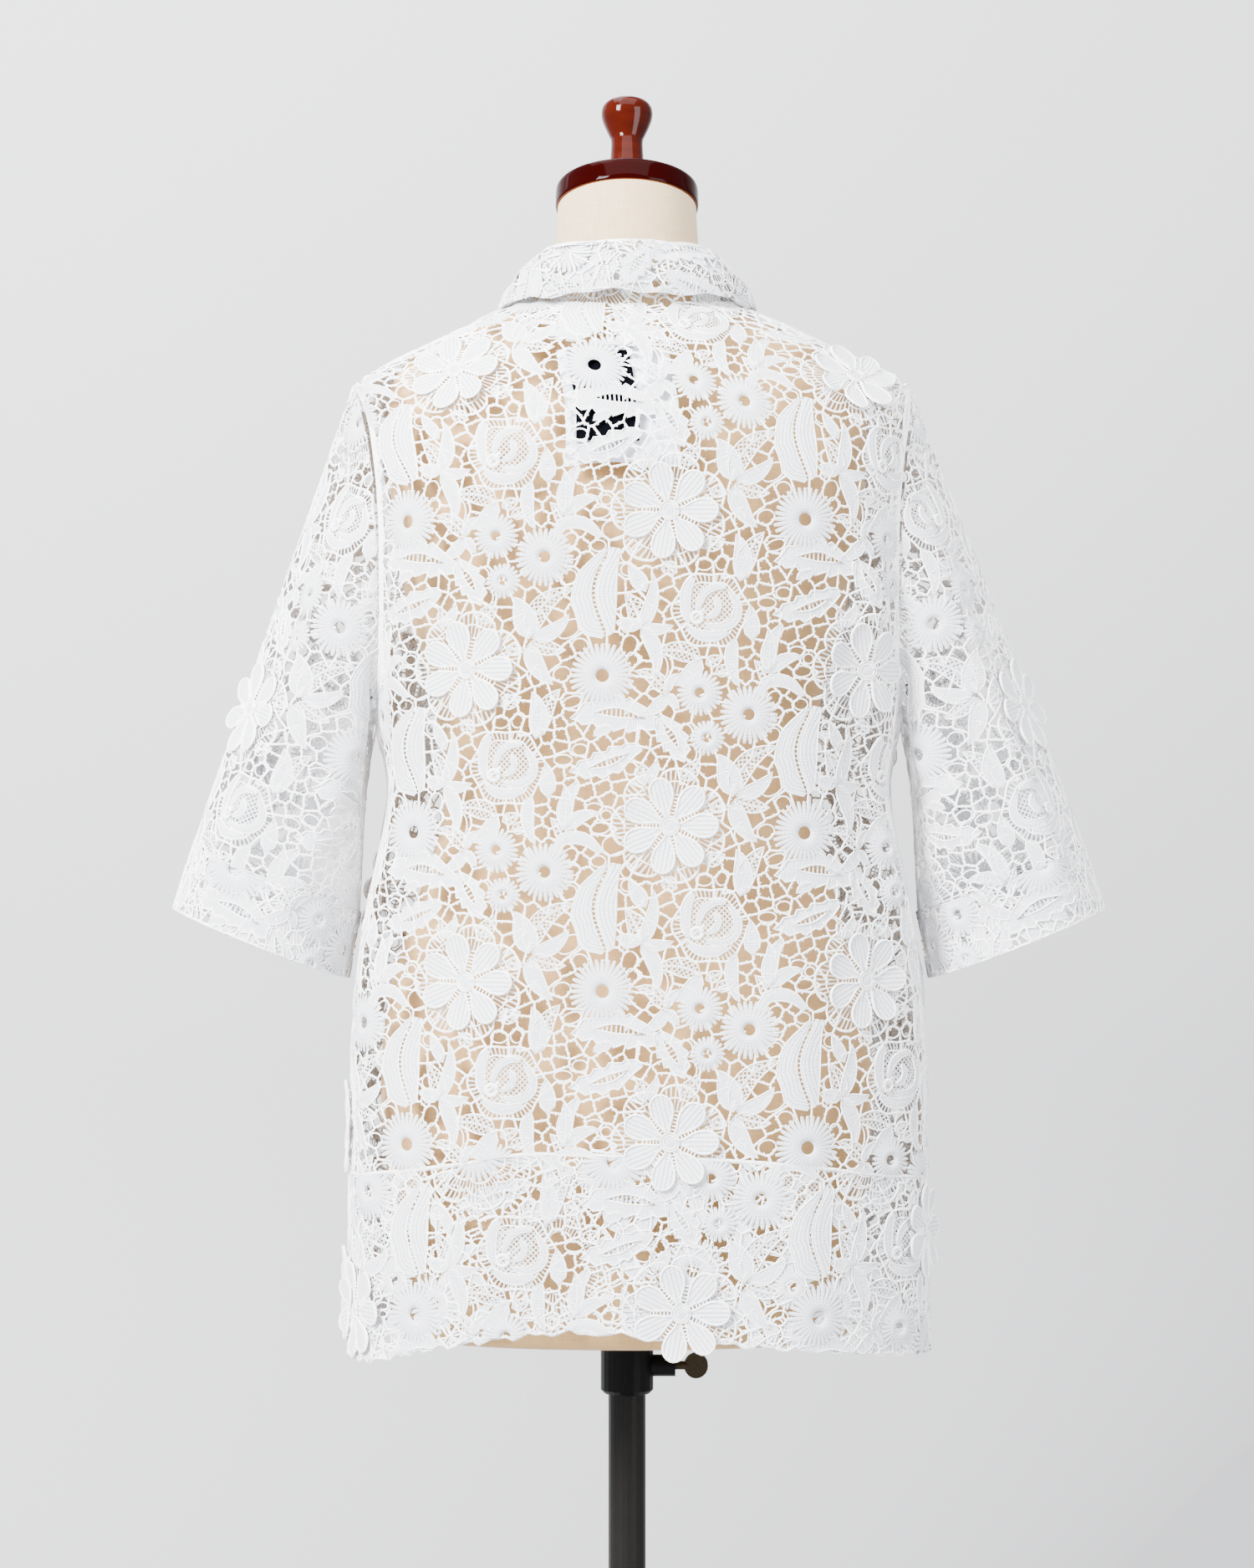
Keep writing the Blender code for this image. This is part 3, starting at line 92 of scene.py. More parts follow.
# Folds: flat place of the upper end, of the lower end, height, half width
BACK_FOLDS = ((-0.150, -0.200, -0.178, 0.040, 0.0050, 0.013), (0.152, -0.190, 0.180, 0.060, 0.0060, 0.014),
              (-0.205, 0.010, -0.190, 0.390, 0.0045, 0.020), (-0.085, 0.080, -0.120, 0.390, 0.0035, 0.026),
              (0.010, 0.120, -0.010, 0.390, 0.0030, 0.030), (0.095, 0.060, 0.105, 0.390, 0.0040, 0.024),
              (0.195, 0.000, 0.200, 0.390, 0.0045, 0.020))
FRONT_FOLDS = ((-0.150, -0.190, -0.185, 0.080, 0.0050, 0.014), (0.150, -0.180, 0.182, 0.080, 0.0050, 0.014),
               (-0.200, 0.020, -0.195, 0.390, 0.0040, 0.020), (-0.100, 0.000, -0.110, 0.390, 0.0035, 0.026),
               (0.105, 0.010, 0.120, 0.390, 0.0035, 0.026), (0.200, 0.010, 0.198, 0.390, 0.0040, 0.020))
SLEEVE_FOLDS = ((0.065, 0.075, 0.060, 0.330, 0.0050, 0.012), (0.125, 0.175, 0.110, 0.330, 0.0040, 0.012),
                (-0.060, 0.075, -0.055, 0.330, 0.0040, 0.013), (-0.125, 0.175, -0.112, 0.330, 0.0040, 0.012))
FOLD_RISE = 3                 # a fold reaches its height over a third of its length
FOLD_END, FOLD_FADE = 1.25, 4       # it ends at this share of its length, and fades over a quarter before

# The sleeve: middle and radius of the ring at the cuff seam and at the cuff's end
CUFF_SEAM = (0.247, 1.0685, 0.059)
CUFF_END = (0.2575, 1.024, 0.0625)
CUFF_TILT = math.radians(22)
UNDERARM_TURN = 0.007         # the sleeve turns this far out before it hangs down
UNDERARM_LIFT = 0.0045        # and starts this far above the body's edge
ARMHOLE_STEP = (0.0006, 0.0026)   # step from the body's edge to the sleeve's at the top, and more below
ARMHOLE_TURNS = (0.1, 0.8)    # where that more begins, and over which turn it grows
UNDERARM_SPAN = (1.3, 0.2)    # how sharply the underarm's lift begins round the armhole
UNDERARM_RUN = 0.05           # share of the sleeve over which it turns out
SLEEVE_END_V, CUFF_START_V = 0.997, 1.008   # the sleeve and its cuff lie so far apart at their seam

# The dress form: height, half width, depth behind, depth in front, roundness, share of the neck's tilt
FORM_SECTIONS = (
    (0.7570, 0.1440, 0.0870, 0.0780, 2.2, 0.0), (0.7595, 0.1505, 0.0935, 0.0845, 2.2, 0.0),
    (0.7660, 0.1525, 0.0955, 0.0860, 2.2, 0.0), (0.8000, 0.1550, 0.0980, 0.0865, 2.2, 0.0),
    (0.8600, 0.1625, 0.1035, 0.0870, 2.2, 0.0), (0.9250, 0.1675, 0.1050, 0.0875, 2.2, 0.0),
    (0.9800, 0.1640, 0.0985, 0.0880, 2.2, 0.0), (1.0500, 0.1440, 0.0800, 0.0890, 2.2, 0.0),
    (1.1250, 0.1235, 0.0680, 0.0940, 2.2, 0.0), (1.1850, 0.1315, 0.0780, 0.1060, 2.2, 0.0),
    (1.2560, 0.1500, 0.0960, 0.1230, 2.2, 0.0), (1.3020, 0.1575, 0.1030, 0.1100, 2.2, 0.0),
    (1.3470, 0.1625, 0.1000, 0.0880, 2.15, 0.0), (1.3750, 0.1630, 0.0890, 0.0740, 2.05, 0.0),
    (1.3950, 0.1620, 0.0770, 0.0660, 2.0, 0.0), (1.4095, 0.1575, 0.0630, 0.0570, 2.0, 0.0),
    (1.4190, 0.1505, 0.0500, 0.0480, 2.0, 0.0), (1.4311, 0.1275, 0.0500, 0.0480, 2.0, 0.0),
    (1.4411, 0.1058, 0.0480, 0.0470, 2.0, 0.0), (1.4495, 0.0870, 0.0490, 0.0490, 2.0, 0.0),
    (1.4530, 0.0775, 0.0495, 0.0500, 2.0, 0.0), (1.4580, 0.0680, 0.0495, 0.0505, 2.0, 0.0),
    (1.4660, 0.0600, 0.0500, 0.0515, 2.0, 0.1), (1.4800, 0.0525, 0.0475, 0.0510, 2.0, 0.4),
    (1.5000, 0.0485, 0.0465, 0.0500, 2.0, 0.7), (1.5233, 0.0472, 0.0455, 0.0480, 2.0, 1.0))
FORM_SIDES, CAP_SIDES, KNOB_SIDES = 120, 128, 96   # sides of the drawn form and of the turned pieces
FORM_STEPS = 5                # levels from one row of that table to the next
POLE_HOLE = 0.0137            # radius of the hole under the form
SHARP_ANGLE = math.radians(50)      # edges turned further than this stay sharp
NECK_TILT = math.radians(18)

# The neck cap's edge from its lower face to its upper face, and the knob from the cap up: radius, height
CAP_PROFILE = ((0.0, 0.0), (0.0452, 0.0), (0.0480, 0.0012), (0.0488, 0.0040), (0.0487, 0.0138),
               (0.0473, 0.0168), (0.0440, 0.0180), (0.0, 0.0188))
CAP_DEPTH = 0.985             # the cap's depth as a share of its width
CAP_MIDDLE_Y = -0.002
CAP_POINTS, KNOB_POINTS = 20, 60    # points on their smooth profiles
BEAD_ROWS = 5                 # the cap's lowest rows, browner than the rest
TIP_RADIUS = 0.0005           # a turned face ends this close to its middle
KNOB_PROFILE = ((0.0, 0.0), (0.0160, 0.0), (0.0165, 0.0025), (0.0150, 0.0060), (0.0128, 0.0100),
                (0.0120, 0.0140), (0.0112, 0.0240), (0.0110, 0.0330), (0.0124, 0.0375),
                (0.0151, 0.0437), (0.0170, 0.0490), (0.0177, 0.0535), (0.0170, 0.0577),
                (0.0142, 0.0607), (0.0080, 0.0626), (0.0, 0.0632))

# The collar, from the centre back: turn, then the fold's and the edge's place (across, depth, height)
COLLAR_ROWS = ((0, 0.0, 0.0590, 1.4970, 0.0, 0.0780, 1.4595),
               (45, 0.0440, 0.0425, 1.4960, 0.0605, 0.0570, 1.4580),
               (90, 0.0620, 0.0030, 1.4915, 0.0890, 0.0040, 1.4545),
               (125, 0.0495, -0.0370, 1.4790, 0.0815, -0.0480, 1.4490),
               (150, 0.0290, -0.0600, 1.4640, 0.0650, -0.0880, 1.4200),
               (168, 0.0120, -0.0705, 1.4550, 0.0450, -0.1180, 1.3720))
COLLAR_CROWN = 0.0050         # how far the fall bows out between its fold and its edge
COLLAR_WALL = 0.0018          # thickness of the fall, inside which the stand lies
COLLAR_MIDDLE = np.array((0.0, -0.010, 1.4750))
# Small folds of the collar's fall, named as the body's are
COLLAR_FOLDS = ((-0.075, -0.010, -0.110, 0.060, 0.0026, 0.006),
                (-0.036, -0.012, -0.004, 0.060, 0.0022, 0.007),
                (0.020, -0.010, 0.056, 0.060, 0.0024, 0.007), (0.072, -0.012, 0.100, 0.060, 0.0026, 0.006),
                (-0.120, -0.010, -0.080, 0.070, 0.0020, 0.008),
                (0.125, -0.010, 0.090, 0.070, 0.0020, 0.008))
COLLAR_WAVE = 0.0013          # how far the fall's edge runs up and down
STAND_END = 179.0             # turn where the stand ends in front, in degrees
STAND_LIFT = 0.0019           # how far its lower edge stands over the neckline
STAND_DROP = 0.0010           # how far its upper edge lies under the fold
PLACKET_HALF = 0.015
PLACKET_HEIGHT = 3.2          # millimetres over the fronts' inner face, clear of the hem bands
PLACKET_TOP, PLACKET_LOW = 0.012, 0.002   # how far its ends lie past the neckline and the hem, in v
FRONT_LEVEL, HEM_LEVEL = 1.1, 0.8   # heights at which the fronts' and hem bands' middle edges are measured
BACK_POINTS, FRONT_POINTS = 25, 14  # points along a level edge of the back and of one front
NECK_POINTS = 8
SIDE_POINTS, MIDDLE_POINTS, BAND_POINTS = 14, 20, 6   # down a side, a middle edge and a band's end

# The lace's repeat, in millimetres
STEP_ACROSS = np.array((133.7, -103.3))
STEP_DOWN = np.array((0.0, 206.7))
SATIN, NET, LADDER, LANES, THREAD = range(5)   # fillings: ribs, net, bars, ribbed lanes, cords
GROUND = 0.5                  # height of the ground threads over the cloth's inner face
# Gaps that stay open: across, down, half length, half width, turn
GAPS = ((97.5, -90.1, 7.2, 6.2, 0), (68.3, -25.6, 8.0, 4.8, -35), (-25.6, 88.9, 6.6, 5.0, -70),
        (75.4, -14.3, 5.0, 4.6, 10), (46.4, 6.4, 5.4, 3.3, 90), (63.6, 4.1, 5.4, 4.4, -15),
        (67.8, -59.1, 5.4, 4.2, -40), (10.8, -60.9, 5.2, 4.0, 80), (70.2, 22.4, 6.4, 3.1, -20),
        (88.4, 105.0, 6.0, 3.2, -5), (13.8, -47.3, 5.4, 3.6, 90), (106.4, -74.1, 4.5, 4.0, 90),
        (107.4, -64.2, 4.8, 3.6, 0), (105.5, -36.6, 3.8, 3.2, 90), (80.5, 26.7, 4.4, 3.5, 0),
        (22.8, 35.6, 5.0, 3.3, 0), (34.2, 34.7, 4.0, 3.5, 90), (75.5, 53.7, 4.7, 3.3, 0),
        (64.3, 60.3, 5.6, 3.0, 0), (109.1, 65.9, 4.0, 3.8, 0), (92.6, 96.6, 3.2, 2.8, 0),
        (84.6, 91.8, 5.0, 2.7, 0), (69.0, 122.9, 4.8, 3.8, -45), (70.5, 132.4, 5.0, 3.0, 0),
        (87.4, 126.7, 4.5, 3.3, 0), (129.3, 0.0, 7.0, 3.0, 90), (123.2, 17.0, 4.5, 2.8, 0),
        (-23.7, 98.3, 4.5, 3.5, 90), (-27.9, 75.7, 4.0, 3.0, 90))
# Sunbursts: across, down, radius, radius of the hole, number of spokes
SUNBURSTS = ((19.8, -87.1, 14.8, 3.2, 25), (52.1, -73.0, 19.0, 3.8, 29), (24.7, -57.5, 11.5, 2.9, 21),
             (90.0, 5.0, 21.4, 4.3, 32))
# Leaves: foot across and down, tip across and down, width, bend, filling
LEAVES = (
    (41.9, -19.5, 32.5, -46.8, 15, 0.05, SATIN), (41.9, -19.5, 71.5, -52.0, 13, -0.18, NET),
    (44.0, -19.5, 68.2, -35.0, 9, 0.12, SATIN), (43.0, -17.0, 66.0, -11.5, 9.5, 0.05, NET),
    (41.9, -16.0, 57.5, 11.0, 11, 0.10, SATIN), (46.4, 46.2, 44.0, 15.5, 12, 0.10, SATIN),
    (47.5, 45.0, 62.5, 14.0, 12, -0.10, NET), (132.2, 17.0, 112.0, 1.9, 10, 0.12, NET),
    (132.2, 17.0, 115.2, 30.1, 8, -0.12, SATIN), (132.2, 17.0, 139.7, 27.3, 6, 0.0, SATIN),
    (132.2, 17.0, 140.6, 3.8, 5, -0.15, SATIN), (64.3, 114.9, 55.9, 98.0, 7, 0.1, NET),
    (64.3, 106.4, 65.3, 77.2, 8, 0.05, NET), (65.0, 105.0, 73.8, 74.4, 9.5, -0.1, SATIN),
    (66.0, 107.0, 88.0, 95.2, 8, -0.15, SATIN), (54.5, 85.0, 53.5, 62.0, 10, 0.0, SATIN),
    (43.2, 83.3, 46.0, 116.2, 8, 0.12, SATIN), (20.6, 97.4, -8.6, 92.7, 12, 0.1, NET),
    (20.6, 97.4, 2.7, 114.4, 10, -0.1, SATIN), (24.0, 101.0, 35.0, 96.0, 7, 0.0, NET),
    (30.0, 107.0, 44.0, 102.0, 7, 0.0, NET), (-19.0, 76.7, -10.5, 41.8, 9, 0.08, SATIN),
    (-19.0, 76.7, -28.4, 54.1, 11, 0.1, NET), (-16.2, 53.2, -25.6, 35.2, 8, 0.0, SATIN),
    (-19.0, 76.7, 2.7, 75.7, 7, 0.1, SATIN), (-19.0, 76.7, -8.6, 108.7, 10, -0.12, SATIN),
    (-19.0, 76.7, -35.0, 73.0, 8, 0.0, SATIN), (7.0, -31.0, 19.5, -44.0, 10, 0.1, NET),
    (-18.0, -40.0, -17.5, -26.0, 7, 0.0, NET), (28.0, -14.0, 37.5, -10.5, 8, 0.0, NET),
    (22.0, 22.0, 36.5, 19.0, 9, 0.1, NET), (-3.0, 34.0, 5.0, 41.0, 9, 0.1, NET),
    (116.0, 75.0, 126.0, 60.5, 7, 0.1, SATIN), (96.0, 40.0, 84.0, 44.5, 6, 0.1, SATIN))
# Long serrated leaves: root, tip, width, bend, number of teeth
SERRATED = ((125.6, 36.7, 69.0, 33.0, 25.0, 0.10, 5), (114.3, 51.8, 68.1, 67.8, 19.0, -0.06, 4),
            (125.6, 32.0, 143.5, 62.0, 20.0, -0.05, 4))
POD_LEFT = ((89.0, -76.0), (74.5, -62.0), (69.5, -43.0), (73.0, -35.0), (76.0, -23.5), (90.0, -19.5))
POD_RIGHT = ((101.5, -78.0), (99.5, -60.0), (99.0, -43.0), (97.5, -23.0))
POD_HOLES = ((95.5, -79.0), (86.0, -60.0), (84.5, -44.0), (92.5, -21.0))
ARCHED_LEAF = ((58.7, 121.5), (63.0, 113.5), (70.5, 111.0), (80.0, 113.0), (88.8, 120.6))
ROSE = (27.2, 65.4)
# The rose's bands from its middle: width, then the places they run through, across and down
ROSE_BANDS = ((6.4, ((-11.5, -21.0), (-15.5, -14.5), (-16.8, -4.0), (-15.0, 7.5))),
              (6.4, ((-15.5, 11.5), (-7.0, 16.4), (3.0, 17.2), (10.5, 14.2))),
              (5.6, ((-3.5, 10.0), (7.5, 11.0), (16.0, 6.0), (17.4, -4.0), (12.5, -12.5))),
              (4.4, ((-8.5, -0.5), (-5.5, -9.5), (1.5, -15.0), (9.5, -15.0))),
              (3.6, ((-2.5, 4.6), (2.5, 2.6), (5.0, -3.5), (2.0, -8.0))))
ROSE_CURL, ROSE_CURL_RADIUS = (-9.3, 4.8), 3.6
ROSE_RADIUS = 24.5
ROSE_POINTS, SCALLOP_POINTS = 42, 56    # points round the rose's ring and round the large flower's
POD_POINTS, POD_LENGTH = 14, 60         # points along the pod, and its length along the stitches
PETALS = 7
PETAL_REACH, PETAL_HALF, PETAL_FOOT = 31.5, 7.6, 6.6
PETAL_WIDEST = 0.66           # share of the petal's length where it is widest
PETAL_BARS = (8.6, 11.0, 13.4, 15.8, 18.2)     # radii of the bars between the petals
SCALLOP_RADIUS, SCALLOP_DEPTH = 31.0, 7.0
MIDDLE_BURST = (20.0, 3.4, 27)        # its radius, its hole's radius and its spokes
SEED_SPACE = 7.0              # distance between the free gaps
SEED_TRIES, SEEDS_COMPARED = 5200, 400  # places tried, and the newest ones each is compared with
GAP_CLEARANCE = 3.0           # a free gap keeps this far from the ones in the table
BAR_SHORTEST, BAR_LONGEST = 0.8, 40     # lengths between which the net's bars are drawn
STRAIGHT_BAR, KNOTLESS_BAR = 9, 3.5     # below the first a bar has three points, up to the second no knots
KNOTS = ((0.35, 1), (0.65, -1))         # share of the bar's length, and its side

# Where each kind of piece starts in the repeat: across and down
LACE_START = {"back": (-114.0, -76.0), "front": (75.0, -30.0), "sleeve": (30.0, 232.0),
              "hem_back": (27.0, 345.0), "hem_front": (60.0, 330.0), "cuff": (-20.0, 330.0),
              "collar": (-60.0, 10.0), "stand": (20.0, 20.0), "placket": (66.0, 40.0)}
OUTER_HEIGHT = 0.9            # height of the lace over a piece's inner face
INNER_LAYER = (52.0, 71.0, 0.1)   # how the lace under a doubled piece is shifted, and its height
DOUBLED = (INNER_LAYER, (0.0, 0.0, 1.3))
COLLAR_LAYERS = (INNER_LAYER, (0.0, 0.0, 1.0))
REPEAT_REACH = 200.0          # how far a repeat's motifs reach from its large flower
FLOWER_EDGE = 9.0             # a raised flower's middle lies at least this far inside its piece
LOOSE_FLOWERS = ((-207.0, 352.0), (214.0, 300.0))   # raised flowers at the ends of the back's hem band
FACING_DEPTH = 44.0           # how far the doubled strip reaches below the neckline
CORD_BASE, CORD_HEIGHT = 0.3, 0.4     # how high the corded edges start in their chart, and over the cloth
# Corded edges and seams: width and rise
ARMHOLE_CORD, SEAM_CORD, HEM_CORD = (5.4, 2.4), (2.8, 2.0), (2.2, 1.5)
CUFF_CORD, PLACKET_CORD = (2.6, 1.8), (1.8, 1.2)
FALL_CORDS = ((1.95, 5.2, 2.8), (0.05, 4.2, 1.6))   # the fall's edge and its fold, each after its v
POINT_CORD = (3.4, 2.2)

# Lace threads: stitch length, lane width, colours in the dips and on the ridges, in millimetres. The dark dip
# colours are painted shade between stitches and lanes, and the fillings are painted darker than the bright
# cord, which stands in for the raised cords catching more light; all are the same white thread
STITCHES = {"satin_stitches": (1.3, None, (0.40, 0.415, 0.45), (0.80, 0.81, 0.835)),
            "lane_stitches": (1.3, 2.9, (0.37, 0.385, 0.42), (0.82, 0.83, 0.855)),
            "twisted_cord": (1.2, None, (0.93, 0.935, 0.95), (0.99, 0.99, 0.995))}
# Materials by filling: stitches, and what is open between them
LACE_FINISHES = {"satin_ribs": ("satin_stitches", None), "thread_net": ("satin_stitches", "net"),
                 "thread_bars": ("satin_stitches", "bars"), "ribbed_lanes": ("lane_stitches", None),
                 "edge_cord": ("twisted_cord", None)}
# Dark and pale grain, (roughness, metallic, specular), the grain's scale, its stretch and its bumps
EVEN, TURNED = (1.0, 1.0, 1.0), (1.0, 1.0, 5.0)
FINISHES = {
    "knob_varnish": ((0.014, 0.0006, 0.0001), (0.044, 0.0038, 0.0007),
                     (0.07, 0.0, 0.10), 30.0, TURNED, 0.0),
    "cap_varnish": ((0.006, 0.0001, 0.0001), (0.014, 0.0003, 0.0002),
                    (0.05, 0.0, 0.03), 14.0, TURNED, 0.0),
    "bead_varnish": ((0.060, 0.012, 0.002), (0.110, 0.030, 0.008),
                     (0.25, 0.0, 0.10), 30.0, TURNED, 0.0),
    "charcoal_paint": ((0.0042, 0.0039, 0.0034), (0.0062, 0.0058, 0.0051),
                       (0.42, 0.0, 0.10), 60.0, EVEN, 0.05),
    "black_enamel": ((0.0008, 0.0008, 0.0009), (0.0016, 0.0016, 0.0018),
                     (0.40, 0.0, 0.08), 80.0, EVEN, 0.05),
    "dark_bronze": ((0.011, 0.008, 0.0036), (0.040, 0.030, 0.018),
                    (0.38, 0.7, 0.20), 900.0, EVEN, 0.8),
    "button_white": ((0.86, 0.86, 0.84), (0.92, 0.92, 0.91), (0.28, 0.0, 0.5), 300.0, EVEN, 0.0),
    "label_black": ((0.0006, 0.0007, 0.0014), (0.0016, 0.0018, 0.0034),
                    (0.9, 0.0, 0.02), 1500.0, EVEN, 0.3),
    "label_white": ((0.80, 0.83, 0.92), (0.87, 0.90, 0.97), (0.7, 0.0, 0.3), 1200.0, EVEN, 0.3)}
# What the solids that stay as they are get
NODE_FINISHES = {"base_plate": "charcoal_paint", "pole": "charcoal_paint", "socket": "black_enamel",
                 "clamp_screw": "dark_bronze", "neck_label": "label_black", "label_backing": "label_white",
                 **{f"button_{k}": "button_white" for k in range(1, 7)}}
# The linen's dark and pale threads: under the shirt, darker and more saturated as painted shade and bounced
# light inside the lace, and on the neck above the heights named, paler as painted light
LINEN_SHADED_AND_LIT_COLOURS = (((0.38, 0.215, 0.075), (0.68, 0.425, 0.19)), ((0.36, 0.24, 0.125), (0.63, 0.485, 0.30)))
LINEN_LIT_FROM, LINEN_LIT_TO = 1.42, 1.49
LINEN_THREADS = ((70.0, 70.0, 900.0), (900.0, 900.0, 70.0))

# The room: lights by name, place, what they point at, size, power and colour
LOOK_AT = (0.0, 0.0, 1.15)
LIGHTS = (("key_left", (2.0, 2.3, 2.8), LOOK_AT, (1.0, 1.2), 760.0, (0.99, 0.99, 1.0)),
          ("fill_right", (-2.5, 2.2, 1.9), LOOK_AT, (1.6, 2.2), 175.0, (0.97, 0.98, 1.0)),
          ("top_soft", (0.0, 0.9, 3.4), LOOK_AT, (2.6, 2.0), 130.0, (1.0, 1.0, 1.0)),
          ("front_soft", (0.8, -0.4, 3.6), LOOK_AT, (3.0, 1.2), 100.0, (0.97, 0.98, 1.0)),
          ("wall_wash", (1.5, -0.9, 2.3), (0.8, -2.0, 1.8), (0.8, 0.8), 9.0, (0.97, 0.98, 1.0)))
BACKDROP_COLOURS = ((0.250, 0.251, 0.256), (0.490, 0.492, 0.500))   # painted light falloff, darker low on one side and paler high on the other
FLOOR_FRONT, FLOOR_BACK, COVE_RADIUS = 4.0, -1.2, 0.8   # the floor's ends, and its curve up into the wall
WALL_HEIGHT, WALL_HALF = 5.0, 5.0
WORLD_COLOUR, WORLD_STRENGTH = (0.93, 0.95, 1.0, 1), 1.25
CAMERA_AT, CAMERA_LENS, CAMERA_SENSOR = (0.0, 3.0, 1.132), 101.05, 36.0


def curve_through(points, count, closed=False):
    """Evenly spread points on a smooth curve through the given ones."""
    p = np.array(points, dtype=float)
    if closed:
        p = np.concatenate([p[-1:], p, p[:2]])
    else:
        p = np.concatenate([2 * p[:1] - p[1:2], p, 2 * p[-1:] - p[-2:-1]])
    pieces = len(p) - 3
    t = np.linspace(0, pieces, 24 * pieces + 1)
    i = np.minimum(t.astype(int), pieces - 1)
    f = (t - i)[:, None]
    a, b, c, d = p[i], p[i + 1], p[i + 2], p[i + 3]
    fine = 0.5 * (2 * b + (c - a) * f + (2 * a - 5 * b + 4 * c - d) * f**2 + (3 * b - a - 3 * c + d) * f**3)
    run = line_lengths(fine)
    at = np.linspace(0, run[-1], count + 1 if closed else count)[:count]
    return np.stack([np.interp(at, run, fine[:, k]) for k in range(fine.shape[1])], axis=1)


def line_lengths(line):
    """Length along a line at each of its points."""
    return np.concatenate([[0], np.cumsum(np.linalg.norm(np.diff(line, axis=0), axis=1))])


def circle(count):
    """Unit places round a circle."""
    turns = np.arange(count) * 2 * math.pi / count
    return np.stack([np.cos(turns), np.sin(turns)], axis=1)


def spoke(turn):
    """Unit directions outward at a turn, and across it."""
    out = np.array((math.cos(turn), math.sin(turn)))
    return out, np.array((-out[1], out[0]))


def level(line, height):
    """Flat places with one height for all, or with a height for each."""
    return np.hstack([line, np.broadcast_to(np.reshape(height, (-1, 1)), (len(line), 1))])


def rows_across(line, side, half, shares, heights):
    """Rows of points across a line, at shares of its half width."""
    return np.stack([level(line + side * (half * s)[:, None], h) for s, h in zip(shares, heights)], axis=1)


def stitch_places(along, across):
    """Stitch coordinates of a strip: its length at each row, and places across, for all rows or for each."""
    across = np.broadcast_to(across, (len(along), np.shape(across)[-1]))
    return np.stack([np.repeat(along[:, None], across.shape[1], axis=1), across], axis=-1)


def sideways(line, closed=False):
    """Unit vectors across a flat line, to its right as it runs with y down."""
    if closed:
        along = np.roll(line, -1, axis=0) - np.roll(line, 1, axis=0)
    else:
        along = np.gradient(line, axis=0)
    along /= np.maximum(np.linalg.norm(along, axis=1, keepdims=True), 1e-9)
    return np.stack([-along[:, 1], along[:, 0]], axis=1)


def inside(points, outline):
    """Which points lie inside a closed outline."""
    x, y = points[:, 0:1], points[:, 1:2]
    a, b = outline, np.roll(outline, -1, axis=0)
    crosses = (a[:, 1] > y) != (b[:, 1] > y)
    with np.errstate(divide="ignore", invalid="ignore"):
        reach = (b[:, 0] - a[:, 0]) * (y - a[:, 1]) / (b[:, 1] - a[:, 1]) + a[:, 0]
    return (np.sum(crosses & (x < reach), axis=1) % 2) == 1


def nearest_on(points, outline):
    """Nearest places on a closed outline."""
    a, b = outline, np.roll(outline, -1, axis=0)
    along = b - a
    length = np.maximum(np.sum(along**2, axis=1), 1e-12)
    f = np.clip(np.sum((points[:, None] - a) * along, axis=2) / length, 0, 1)
    on = a + f[..., None] * along
    best = np.argmin(np.linalg.norm(points[:, None] - on, axis=2), axis=1)
    return on[np.arange(len(points)), best]


